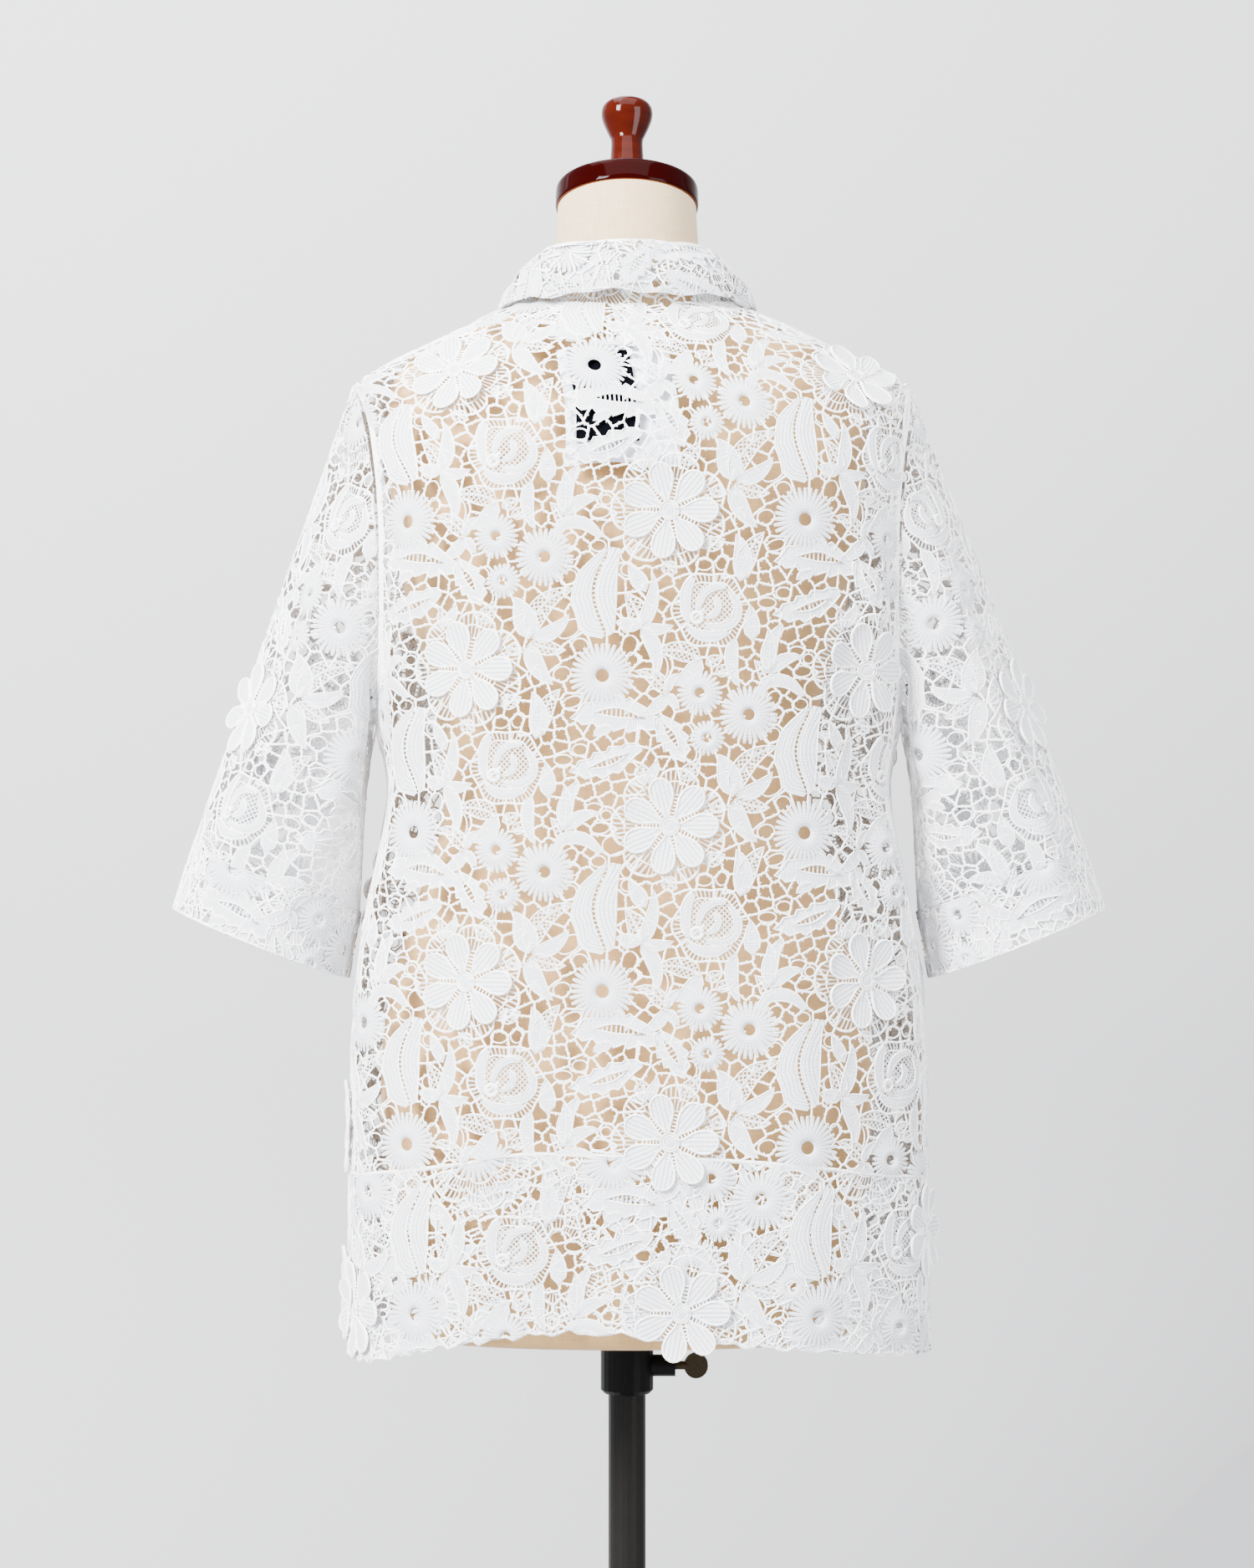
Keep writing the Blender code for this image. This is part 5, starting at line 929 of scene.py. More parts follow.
class TubeCloth(Cloth):
    """Cloth round a sleeve: the length t runs along the sleeve's axis, and s round it from the top line."""

    def __init__(self, shape, folds, axis, facing):
        self.axis = np.array(axis)
        super().__init__(shape, folds, facing)

    def measure(self, points):
        """Find the flat lengths at the grid's points and on rings square to the axis."""
        self.t = points @ self.axis
        self.t -= self.t[0, GRID_MIDDLE]
        self.rings = np.linspace(self.t.min(), self.t.max(), GRID_STEPS + 1)
        self.v = np.stack([np.interp(self.rings, column, self.vs) for column in self.t.T], axis=1)
        s = lengths_along(self.shape(self.grid[0], self.v), 1)
        self.s = s - s[:, GRID_MIDDLE:GRID_MIDDLE + 1]

    def ring_share(self, t):
        """Which ring a length along the axis is on."""
        return (np.asarray(t) - self.rings[0]) / (self.rings[-1] - self.rings[0])

    def flat(self, u, v):
        """Flat place of the form's u and v."""
        t = self.read(self.t, u, np.asarray(v) / 2)
        return self.read(self.s, u, self.ring_share(t)), t

    def lay(self, s, t):
        """The form's u and v of a flat place."""
        share = self.ring_share(t)
        u = np.clip(np.asarray(s, float) / self.s[-1, -1], -1, 1)
        for _ in range(LAY_ROUNDS):
            slope = self.slope(self.s, u, share, SLOPE_STEP, 0)
            u = np.clip(u + LAY_STEP * (s - self.read(self.s, u, share)) / slope, -1, 1)
        return u, self.read(self.v, u, share)


def armhole_edge(side, turns):
    """u and v along one armhole from the shoulder's tip down to the underarm."""
    top = float(shoulder_height(np.array(CHEST)))
    middle, half = (top + UNDERARM_Z) / 2, (top - UNDERARM_Z) / 2
    z = middle + half * np.cos(turns)
    return body_place(side, body_width(z) - ARMHOLE_HOLLOW * np.sin(turns) ** 2, z)


class CollarCloth(Cloth):
    """Cloth of the collar: both flat lengths are measured in space, t from the upper edge."""

    def measure(self, points):
        """Find the flat lengths at the grid's points."""
        s = lengths_along(points, 1)
        self.s = s - s[:, GRID_MIDDLE:GRID_MIDDLE + 1]
        self.t = lengths_along(points, 0)


def sleeve_shape(body, hand):
    """One sleeve's form, hand 1 for the wearer's left: u is 0 at the top and 1 at the underarm behind, v is
    0 at the armhole, 1 at the cuff's seam and 2 at its end."""

    def ring(numbers, turn):
        middle_x, middle_z, radius = numbers
        out = middle_x + radius * np.cos(turn) * math.cos(CUFF_TILT)
        return np.stack([hand * out + SWAY, radius * np.sin(turn),
                         middle_z + radius * np.cos(turn) * math.sin(CUFF_TILT)], axis=-1)

    def shape(u, v):
        turn = u * math.pi
        back_u, back_v = armhole_edge(BACK, np.abs(turn))
        front_u, front_v = armhole_edge(FRONT, np.abs(turn))
        edge = np.where((turn >= 0)[..., None], body[BACK].at(-hand * back_u, back_v),
                        body[FRONT].at(hand * front_u, front_v))
        top, low = soft_step(np.cos(turn)), soft_step(-UNDERARM_SPAN[0] * np.cos(turn) - UNDERARM_SPAN[1])
        lower = soft_step((np.abs(turn) - ARMHOLE_TURNS[0]) / ARMHOLE_TURNS[1])
        step = ARMHOLE_STEP[0] + ARMHOLE_STEP[1] * lower
        start = edge + np.stack([hand * step, 0 * turn,
                                 UNDERARM_LIFT * low - ARMHOLE_STEP[0] * top], axis=-1)
        seam_ring, end_ring = ring(CUFF_SEAM, turn), ring(CUFF_END, turn)
        f, g = np.clip(v, 0, 1)[..., None], np.clip(v - 1, 0, 1)[..., None]
        point = start * (1 - f) + seam_ring * f + (end_ring - seam_ring) * g
        f = f[..., 0]
        point[..., 0] += hand * UNDERARM_TURN * low * soft_step(f / UNDERARM_RUN) * (1 - f)
        return point

    return shape


def body_half(side):
    """Neckline, shoulder and armhole of half the body, from the middle of the neck to the underarm."""
    turns = np.radians(np.linspace(0, 90, NECK_POINTS))
    neck = neckline_place(side, turns)
    shoulder = [tuple(map(float, body_place(side, np.array(x), shoulder_height(np.array(x)))))
                for x in np.linspace(NECKLINE_HALF, CHEST, NECK_POINTS)[1:-1]]
    arm_u, arm_v = armhole_edge(side, np.linspace(0, math.pi, ARMHOLE_POINTS))
    return list(zip(*neck)) + shoulder + list(zip(arm_u, arm_v))


def neckline_place(side, turns):
    """u and v along the neckline, from the middle at 0 to the shoulder at a right angle."""
    x, y = NECKLINE_HALF * np.sin(turns), NECKLINE[side] * np.cos(turns)
    u = np.arcsin((x / CHEST) ** (SQUARE / 2)) * 2 / math.pi
    depth = DEPTHS[0][1 if side == BACK else 2] * section_shares(u)[1]
    return u, np.arcsin(np.clip(y / depth, 0, 1)) * 2 / math.pi


def level_edge(cloth, side, table, u_from, u_to, count, lower=0.0):
    """A level edge across the body at the heights of a table, so much lower."""
    us = np.linspace(u_from, u_to, count)
    across = np.interp(np.abs(us), cloth.us[GRID_MIDDLE:], cloth.s[HANG_ROW, GRID_MIDDLE:]) * np.sign(us)
    z = smooth_row(across if side == BACK else np.abs(across), table, 1) - lower
    hang_z = shoulder_height(CHEST * section_shares(us)[0]) - SHOULDER_DROP[side]
    return list(zip(us, 1 + (hang_z - z) / (hang_z - CLOTH_END)))


def run(start, end, count):
    """Points between two corners of an outline, without the corners."""
    return list(zip(np.linspace(start[0], end[0], count)[1:-1], np.linspace(start[1], end[1], count)[1:-1]))


def outline_through(corners, counts):
    """A closed outline through corners, with so many points from each corner to the next."""
    outline = []
    for k, count in enumerate(counts):
        outline += [corners[k]] + run(corners[k], corners[(k + 1) % len(corners)], count)
    return outline


def level_line(v, count):
    """A line round a tube or a collar at one v."""
    return list(zip(np.linspace(-1, 1, count), np.full(count, v)))


def back_outline(cloth):
    """Outline of the back from the neck to the hem band's seam."""
    half = body_half(BACK)
    other = [(-u, v) for u, v in half[::-1]]
    seam = level_edge(cloth, BACK, BACK_SEAM, 1, -1, BACK_POINTS)
    sides = run(half[-1], seam[0], SIDE_POINTS), run(seam[-1], other[0], SIDE_POINTS)
    return half + sides[0] + seam + sides[1] + other[:-1]


def front_outline(cloth, hand):
    """Outline of one front, hand 1 for the wearer's left."""
    middle_u = float(body_place(FRONT, np.array(HALF_SEAM), np.array(FRONT_LEVEL))[0])
    half = body_half(FRONT)
    half[0] = (middle_u, half[0][1])
    seam = level_edge(cloth, FRONT, FRONT_SEAM, 1, middle_u, FRONT_POINTS)
    outline = half + run(half[-1], seam[0], SIDE_POINTS) + seam + run(seam[-1], half[0], MIDDLE_POINTS)
    return [(hand * u, v) for u, v in outline]


def band_outline(cloth, side, tables, u_from, u_to, count):
    """Outline of a hem band between its seam and the hem."""
    top = level_edge(cloth, side, tables[0], u_from, u_to, count, SEAM)
    low = level_edge(cloth, side, tables[1], u_to, u_from, count)
    return top + run(top[-1], low[0], BAND_POINTS) + low + run(low[-1], top[0], BAND_POINTS)


def collar_curve(turns, first):
    """The collar's fold, first 1, or its edge, first 4, at turns from the centre back."""
    rows = [tuple(row) for row in COLLAR_ROWS]
    other = [(-row[0], -row[1], *row[2:4], -row[4], *row[5:]) for row in rows[1:]]
    return np.stack([smooth_row(turns, rows + other, first + k) for k in range(3)], axis=-1)


REPEAT = lace_repeat()
FLOWER = raised_flower()
MIDDLE = flat_middle()


def flat_outline(cloth, outline_uv):
    """A piece's outline in the flat, in millimetres."""
    uv = np.array(outline_uv)
    return np.stack(cloth.flat(uv[:, 0], uv[:, 1]), axis=1) / MM


def tile_places(start, outline, reach):
    """Where the large flowers of the repeats near an outline lie."""
    low, high = outline.min(axis=0) - reach, outline.max(axis=0) + reach
    places = [np.array(start) + i * STEP_ACROSS + j * STEP_DOWN
              for i in range(-9, 10) for j in range(-12, 13)]
    return [p for p in places if np.all(p > low) and np.all(p < high)]


def cut_repeats(charted, places, outline):
    """A chart at these places, cut to an outline: flat points, stitch coordinates, faces and fillings."""
    points, threads, faces, fillings = charted
    kept, count = [], 0
    for place in places:
        flat = points.copy()
        flat[:, :2] += place
        within = np.zeros(len(flat), bool)
        near = np.all((flat[:, :2] > outline.min(axis=0)) & (flat[:, :2] < outline.max(axis=0)), axis=1)
        if not near.any():
            continue
        within[near] = inside(flat[near, :2], outline)
        keep = within[faces].any(axis=1)
        used, order = np.unique(faces[keep], return_inverse=True)
        if not len(used):
            continue
        flat, within = flat[used], within[used]
        flat[~within, :2] = nearest_on(flat[~within, :2], outline)
        kept.append((flat, threads[used], order.reshape(-1, 4) + count, fillings[keep]))
        count += len(used)
    return [np.concatenate(part) for part in zip(*kept)]


def lay_points(cloth, flat, base):
    """Places in space of flat points (x, y, height), in millimetres over the cloth's inner face."""
    u, v = cloth.lay(flat[:, 0] * MM, flat[:, 1] * MM)
    return cloth.at(u, v, (flat[:, 2] + base) * MM), cloth.normal(u, v)


def lay_repeats(cloth, charted, places, outline, base):
    """A chart laid on the cloth at these places, cut to an outline, as stacks for a mesh."""
    cut = cut_repeats(charted, places, outline)
    return [(*lay_points(cloth, cut[0], base), *cut[1:])] if cut else []


def lay_flower(cloth, place, base):
    """A raised flower's places in space: its foot on the cloth, its petals between the cloth and a plane."""
    points = FLOWER[0]
    wrapped, normals = lay_points(cloth, points + (*place, 0), base)
    u, v = cloth.lay(np.array([place[0]]) * MM, np.array([place[1]]) * MM)
    middle, out = cloth.at(u, v, base * MM)[0], cloth.normal(u, v)[0]
    small = 0.5
    steps = np.array(((small, 0, 0), (-small, 0, 0), (0, small, 0), (0, -small, 0)), float) + (*place, 0)
    near, _ = lay_points(cloth, steps, base)
    across = near[0] - near[1]
    across -= out * (across @ out)
    across /= np.linalg.norm(across)
    down = near[2] - near[3]
    down -= out * (down @ out) + across * (down @ across)
    down /= np.linalg.norm(down)
    plane = middle + (points[:, :1] * across + points[:, 1:2] * down + points[:, 2:] * out) * MM
    reach = np.linalg.norm(points[:, :2], axis=1, keepdims=True) / PETAL_REACH
    share = np.clip(reach, 0, 1) ** 1.5 * 0.6
    return wrapped * (1 - share) + plane * share, normals


def mesh_object(name, points, faces, fillings, threads, materials):
    """A smooth object from arrays, with its stitch coordinates."""
    mesh = bpy.data.meshes.new(name)
    mesh.vertices.add(len(points))
    mesh.vertices.foreach_set("co", points.astype(np.float32).ravel())
    triangle = faces[:, 3] == faces[:, 0]
    sizes = np.where(triangle, 3, 4)
    loops = np.concatenate([f[:n] for f, n in zip(faces, sizes)]) if triangle.any() else faces.ravel()
    mesh.loops.add(len(loops))
    mesh.loops.foreach_set("vertex_index", loops.astype(np.int32))
    mesh.polygons.add(len(faces))
    mesh.polygons.foreach_set("loop_start", np.concatenate([[0], np.cumsum(sizes)[:-1]]).astype(np.int32))
    mesh.polygons.foreach_set("material_index", fillings.astype(np.int32))
    mesh.update(calc_edges=True)
    mesh.validate()
    layer = mesh.uv_layers.new(name="stitch")
    indices = np.empty(len(mesh.loops), np.int32)
    mesh.loops.foreach_get("vertex_index", indices)
    layer.data.foreach_set("uv", threads[indices].astype(np.float32).ravel())
    mesh.shade_smooth()
    for material in materials:
        mesh.materials.append(material)
    return new_object(name, mesh)


def make_lace(name, cloth, outline_uv, kind, materials, layers=((0.0, 0.0, OUTER_HEIGHT),), cords=(),
              flowers=True, shift_y=0.0, loose=(), facing=()):
    """One sewn piece of lace in place of its solid.

    loose names more raised flowers' middles, and facing the outline of a strip where the lace lies double.
    """
    outline = flat_outline(cloth, outline_uv)
    start = np.array(LACE_START[kind])
    top = layers[-1]
    stacks = []
    for dx, dy, height in layers:
        places = tile_places(start + (dx, dy), outline, REPEAT_REACH)
        stacks += lay_repeats(cloth, REPEAT, places, outline, height)
    middles = tile_places(start + top[:2], outline, MIDDLE_BURST[0])
    shown = [flowers and inside(p[None], outline)[0]
             and np.linalg.norm(nearest_on(p[None], outline) - p) > FLOWER_EDGE for p in middles]
    bare = [p for p, flower in zip(middles, shown) if not flower]
    stacks += lay_repeats(cloth, MIDDLE, bare, outline, top[2])
    if facing:
        strip = flat_outline(cloth, facing)
        strip = np.concatenate([strip, strip[::-1] + (0, FACING_DEPTH)])
        places = tile_places(start + INNER_LAYER[:2], strip, REPEAT_REACH)
        stacks += lay_repeats(cloth, REPEAT, places, strip, INNER_LAYER[2])
    for line, width, rise in cords:
        chart = Chart()
        chart.cord(flat_outline(cloth, line), width, rise, CORD_BASE)
        flat, *rest = chart.finish()
        stacks.append((*lay_points(cloth, flat, CORD_HEIGHT), *rest))
    for place in [p for p, flower in zip(middles, shown) if flower] + [np.array(p) for p in loose]:
        stacks.append((*lay_flower(cloth, place, top[2]), *FLOWER[1:]))
    counts = np.cumsum([0] + [len(s[0]) for s in stacks])
    points = np.concatenate([s[0] for s in stacks]) + (0, shift_y, 0)
    normals = np.concatenate([s[1] for s in stacks])
    faces = np.concatenate([s[3] + c for s, c in zip(stacks, counts)])
    a, b, c = points[faces[:, 0]], points[faces[:, 1]], points[faces[:, 2]]
    flip = np.sum(np.cross(b - a, c - a) * normals[faces[:, 0]], axis=1) < 0
    turned = faces[flip]
    faces[flip] = np.where((turned[:, 3] == turned[:, 0])[:, None], turned[:, [0, 2, 1, 0]],
                           turned[:, [0, 3, 2, 1]])
    thing = mesh_object(f"{name}_lace", points, faces, np.concatenate([s[4] for s in stacks]),
                        np.concatenate([s[2] for s in stacks]), materials)
    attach(thing, "form")
    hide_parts(name)
    x, y = outline[:, 0] * MM, outline[:, 1] * MM
    width, length = np.ptp(x), np.ptp(y) * len(layers)
    return thing


def wavy(line):
    """The hem's edge as it is cut along the motifs."""
    return [(u, v + 0.0022 * math.sin(u * 83) + 0.0016 * math.sin(u * 151 + 1)) for u, v in line]


def hem_band(cloth, side, tables, u_from, u_to, count):
    """Outline of a hem band with its wavy lower edge, and that edge."""
    outline = band_outline(cloth, side, tables, u_from, u_to, count)
    low = wavy(level_edge(cloth, side, tables[1], u_to, u_from, 5 * count))
    start = outline.index(level_edge(cloth, side, tables[1], u_to, u_from, count)[0])
    return outline[:start] + low + outline[start + count:], low


def make_shirt(materials):
    """All the lace pieces."""
    body = {BACK: Cloth(body_shape(BACK), BACK_FOLDS), FRONT: Cloth(body_shape(FRONT), FRONT_FOLDS)}
    seam_back = level_edge(body[BACK], BACK, BACK_SEAM, 1, -1, 60)
    arm_u, arm_v = armhole_edge(BACK, np.linspace(0, math.pi, 50))
    armholes = [(list(zip(sign * arm_u, arm_v)), *ARMHOLE_CORD) for sign in (1, -1)]
    neck = list(zip(*neckline_place(BACK, np.linspace(0, 1.5, 20))))
    make_lace("back", body[BACK], back_outline(body[BACK]), "back", materials, cords=armholes,
              facing=[(-u, v) for u, v in neck[::-1]] + neck[1:])
    band, hem = hem_band(body[BACK], BACK, (BACK_SEAM, BACK_HEM), -1, 1, BACK_POINTS)
    make_lace("hem_back", body[BACK], band, "hem_back", materials, DOUBLED,
              [(seam_back, *SEAM_CORD), (hem, *HEM_CORD)], loose=LOOSE_FLOWERS)
    middle_u = float(body_place(FRONT, np.array(HALF_SEAM), np.array(HEM_LEVEL))[0])
    for name, hand in (("left", 1), ("right", -1)):
        make_lace(f"front_{name}", body[FRONT], front_outline(body[FRONT], hand), "front", materials)
        ends = hand * middle_u, hand * 1.0
        band, hem = hem_band(body[FRONT], FRONT, (FRONT_SEAM, FRONT_HEM), *ends, FRONT_POINTS)
        seam = level_edge(body[FRONT], FRONT, FRONT_SEAM, *ends, 30)
        make_lace(f"hem_{name}", body[FRONT], band, "hem_front", materials, DOUBLED,
                  [(seam, *SEAM_CORD), (hem, *HEM_CORD)])
        axis = (hand * math.sin(CUFF_TILT), 0, -math.cos(CUFF_TILT))
        sleeve = TubeCloth(sleeve_shape(body, hand), SLEEVE_FOLDS, axis, hand)
        for half, half_name in ((1, "back"), (-1, "front")):
            outline = outline_through([(0.0, 0.0), (half, 0.0), (half, SLEEVE_END_V), (0.0, SLEEVE_END_V)],
                                      (40, 30, 30, 30))
            make_lace(f"sleeve_{name}_{half_name}", sleeve, outline, "sleeve", materials,
                      shift_y=half * HALF_SEAM)
        cuff = outline_through([(-1.0, CUFF_START_V), (1.0, CUFF_START_V), (1.0, 2.0), (-1.0, 2.0)],
                               (60, 2, 60, 2))
        make_lace(f"cuff_{name}", sleeve, cuff, "cuff", materials, DOUBLED,
                  [(level_line(v, 80), *CUFF_CORD) for v in (1.01, 1.99)])
    side_u = float(body_place(FRONT, np.array(PLACKET_HALF), np.array(FRONT_LEVEL))[0])
    top_v = float(neckline_place(FRONT, np.array(0.0))[1]) + PLACKET_TOP
    low_v = level_edge(body[FRONT], FRONT, FRONT_HEM, side_u, side_u, 1)[0][1] - PLACKET_LOW
    corners = [(-side_u, top_v), (side_u, top_v), (side_u, low_v), (-side_u, low_v)]
    edges = [([a] + run(a, b, 80) + [b], *PLACKET_CORD)
             for a, b in ((corners[0], corners[3]), (corners[1], corners[2]))]
    make_lace("placket", body[FRONT], outline_through(corners, (2, 40, 2, 40)), "placket", materials,
              ((0.0, 0.0, PLACKET_HEIGHT),), edges, False)
    make_collar(body, materials)


def make_collar(body, materials):
    """The collar's fall and its stand."""
    def fall_shape(u, v):
        turn = u * COLLAR_ROWS[-1][0]
        fold, edge = collar_curve(turn, 1), collar_curve(turn, 4)
        small = 0.5
        step = collar_curve(turn + small, 1) - collar_curve(turn - small, 1)
        out = np.stack([step[..., 1], -step[..., 0], 0 * step[..., 0]], axis=-1)
        out /= np.linalg.norm(out, axis=-1, keepdims=True)
        out *= np.sign(np.sum(out * (fold - COLLAR_MIDDLE), axis=-1, keepdims=True))
        edge[..., 2] += COLLAR_WAVE * (np.sin(turn * 0.115 + 0.6) + 0.6 * np.sin(turn * 0.29))
        w = (v / 2)[..., None]
        return fold * (1 - w) + edge * w + COLLAR_CROWN * 4 * w * (1 - w) * out

    fall = CollarCloth(fall_shape, COLLAR_FOLDS)
    outline = outline_through([(-1.0, 0.0), (1.0, 0.0), (1.0, 2.0), (-1.0, 2.0)], (50, 12, 50, 12))
    edges = [(level_line(v, 90), width, rise) for v, width, rise in FALL_CORDS]
    edges += [(list(zip(np.full(14, u), np.linspace(0, 2, 14))), *POINT_CORD) for u in (-0.993, 0.993)]
    make_lace("collar_fall", fall, outline, "collar", materials, COLLAR_LAYERS, edges, False)

    def stand_shape(u, v):
        turn = u * STAND_END
        top = collar_curve(turn, 1)
        share = np.clip((np.abs(turn) - COLLAR_ROWS[-1][0]) / (180 - COLLAR_ROWS[-1][0]), 0, 1)
        top[..., 0] *= 1 - share
        level = top - COLLAR_MIDDLE
        level[..., 2] = 0
        top -= (COLLAR_WALL + 2 * SEAM) * level / np.linalg.norm(level, axis=-1, keepdims=True)
        top[..., 2] -= STAND_DROP
        behind = np.abs(turn) <= 90
        seam = 0
        for side, where in ((BACK, behind), (FRONT, ~behind)):
            angle = np.radians(np.abs(turn) if side == BACK else 180 - np.abs(turn))
            su, sv = neckline_place(side, np.clip(angle, 0, math.pi / 2))
            seam = seam + body[side].at(-side * np.sign(turn) * su, sv) * where[..., None]
        seam = seam + (0, 0, STAND_LIFT)
        w = (v / 2)[..., None]
        return top * (1 - w) + seam * w

    stand = CollarCloth(stand_shape, ())
    make_lace("collar_stand", stand, outline, "stand", materials, flowers=False)


def new_material(name, finish):
    """A material with values at its shader's inputs, its tree and its shader."""
    material = bpy.data.materials.new(name)
    material.use_nodes = True
    tree = material.node_tree
    shader = tree.nodes["Principled BSDF"]
    for label, value in finish.items():
        shader.inputs[label].default_value = value
    return material, tree, shader


def add_node(tree, kind, inputs, group=None):
    """A node, or one that stands for a group, with values or links at its inputs."""
    node = tree.nodes.new(kind)
    if group:
        node.node_tree = group
    for label, value in inputs.items():
        if isinstance(value, bpy.types.NodeSocket):
            tree.links.new(value, node.inputs[label])
        else:
            node.inputs[label].default_value = value
    return node


def add_bumps(tree, shader, height, strength, distance=0.0005):
    """Bumps on a shader from a height."""
    bump = add_node(tree, "ShaderNodeBump", {"Strength": strength, "Distance": distance, "Height": height})
    tree.links.new(bump.outputs[0], shader.inputs["Normal"])


def new_group(name, inputs, outputs):
    """A node group with sockets of the given kinds."""
    group = bpy.data.node_groups.new(name, "ShaderNodeTree")
    for label, kind in inputs:
        group.interface.new_socket(label, in_out="INPUT", socket_type=kind)
    for label, kind in outputs:
        group.interface.new_socket(label, in_out="OUTPUT", socket_type=kind)
    return group, group.nodes.new("NodeGroupInput"), group.nodes.new("NodeGroupOutput")


def math_node(tree, operation, first, second=None):
    """A math node on two values or sockets."""
    node = tree.nodes.new("ShaderNodeMath")
    node.operation = operation
    for socket, value in zip(node.inputs, (first, second)):
        if value is None:
            continue
        if isinstance(value, (int, float)):
            socket.default_value = value
        else:
            tree.links.new(value, socket)
    return node.outputs[0]


def stitch_group(name, pitch, lane, low_colour, high_colour):
    """Stitches across the thread's run, in lanes where they are named, with the thread's unevenness and with
    painted shade in the dips between stitches and lanes.
    """
    group, start, end = new_group(name, [("Stitch", "NodeSocketVector")],
                                  [("Height", "NodeSocketFloat"), ("Colour", "NodeSocketColor")])
    split = add_node(group, "ShaderNodeSeparateXYZ", {0: start.outputs["Stitch"]})
    ribs = math_node(group, "SINE", math_node(group, "MULTIPLY", split.outputs[0], 2 * math.pi / pitch))
    # painted shade and light: each stitch is painted darker in its dip and paler on its ridge
    painted_rib_light = math_node(group, "MULTIPLY", math_node(group, "ADD", ribs, 1.0), 0.25)
    noise = add_node(group, "ShaderNodeTexNoise",
                     {"Scale": 0.55, "Detail": 4.0, "Vector": start.outputs["Stitch"]})
    height = math_node(group, "ADD", math_node(group, "MULTIPLY", ribs, 0.35),
                       math_node(group, "MULTIPLY", noise.outputs["Fac"], 1.2))
    shade = math_node(group, "ADD", math_node(group, "MULTIPLY", noise.outputs["Fac"], 0.6), painted_rib_light)
    if lane:
        wave = math_node(group, "ABSOLUTE", math_node(group, "SINE", math_node(
            group, "MULTIPLY", split.outputs[1], math.pi / lane)))
        ridge = math_node(group, "POWER", wave, 0.4)
        height = math_node(group, "ADD", height, math_node(group, "MULTIPLY", ridge, 1.6))
        # painted shade: the grooves between the lanes are painted darker
        shade = math_node(group, "MULTIPLY", ridge, math_node(group, "ADD", shade, 0.3))
    group.links.new(height, end.inputs["Height"])
    group.links.new(mixed(group, shade, low_colour, high_colour), end.inputs["Colour"])
    return group


def mixed(tree, share, low, high):
    """Two colours mixed by a share; each is a colour or a socket."""
    mix = tree.nodes.new("ShaderNodeMix")
    mix.data_type = "RGBA"
    tree.links.new(share, mix.inputs[0])
    for socket, colour in ((mix.inputs[6], low), (mix.inputs[7], high)):
        if isinstance(colour, tuple):
            socket.default_value = (*colour, 1)
        else:
            tree.links.new(colour, socket)
    return mix.outputs[2]


def lace_material(name, stitches, holes):
    """White cotton thread; holes gives the open share of a net or of bars, in millimetres."""
    material, tree, shader = new_material(name, {"Roughness": 0.78, "Sheen Weight": 0.25,
                                                 "Sheen Roughness": 0.5})
    uv = add_node(tree, "ShaderNodeUVMap", {})
    uv.uv_map = "stitch"
    group = add_node(tree, "ShaderNodeGroup", {"Stitch": uv.outputs[0]}, stitches)
    tree.links.new(group.outputs["Colour"], shader.inputs["Base Color"])
    add_bumps(tree, shader, group.outputs["Height"], 0.7)
    if holes:
        split = add_node(tree, "ShaderNodeSeparateXYZ", {0: uv.outputs[0]})
        along, across = split.outputs[0], split.outputs[1]
        if holes == "net":
            shares = [math_node(tree, "MULTIPLY", math_node(tree, op, along, across), 1 / 3.6)
                      for op in ("ADD", "SUBTRACT")]
            limits = (0.33, 0.33)
        else:
            shares = [math_node(tree, "MULTIPLY", place, 1 / size)
                      for place, size in ((along, 3.0), (across, 60.0))]
            limits = (0.31, 0.6)
        open_share = None
        for share, limit in zip(shares, limits):
            off = math_node(tree, "SUBTRACT", math_node(tree, "FRACT", share), 0.5)
            within = math_node(tree, "LESS_THAN", math_node(tree, "ABSOLUTE", off), limit)
            open_share = within if open_share is None else math_node(tree, "MULTIPLY", open_share, within)
        tree.links.new(math_node(tree, "SUBTRACT", 1.0, open_share), shader.inputs["Alpha"])
    return material


def grain_group():
    """A fine uneven grain between two colours, with its height."""
    group, start, end = new_group(
        "fine_grain", [("Place", "NodeSocketVector"), ("Stretch", "NodeSocketVector"),
                       ("Scale", "NodeSocketFloat"), ("Dark", "NodeSocketColor"),
                       ("Pale", "NodeSocketColor")],
        [("Colour", "NodeSocketColor"), ("Height", "NodeSocketFloat")])
    stretched = add_node(group, "ShaderNodeVectorMath",
                         {0: start.outputs["Place"], 1: start.outputs["Stretch"]})
    stretched.operation = "MULTIPLY"
    noise = add_node(group, "ShaderNodeTexNoise",
                     {"Detail": 5.0, "Vector": stretched.outputs[0], "Scale": start.outputs["Scale"]})
    colour = mixed(group, noise.outputs["Fac"], start.outputs["Dark"], start.outputs["Pale"])
    group.links.new(colour, end.inputs["Colour"])
    group.links.new(noise.outputs["Fac"], end.inputs["Height"])
    return group


def plain_material(name, grain, dark, pale, finish, scale, stretch, bumps):
    """A material of one finish (roughness, metallic, specular) with a fine uneven grain of two colours."""
    values = dict(zip(("Roughness", "Metallic", "Specular IOR Level"), finish))
    material, tree, shader = new_material(name, values)
    place = add_node(tree, "ShaderNodeTexCoord", {})
    group = add_node(tree, "ShaderNodeGroup", {"Place": place.outputs["Object"], "Stretch": stretch,
                                               "Scale": scale, "Dark": (*dark, 1), "Pale": (*pale, 1)}, grain)
    tree.links.new(group.outputs["Colour"], shader.inputs["Base Color"])
    if bumps:
        add_bumps(tree, shader, group.outputs["Height"], bumps)
    return material


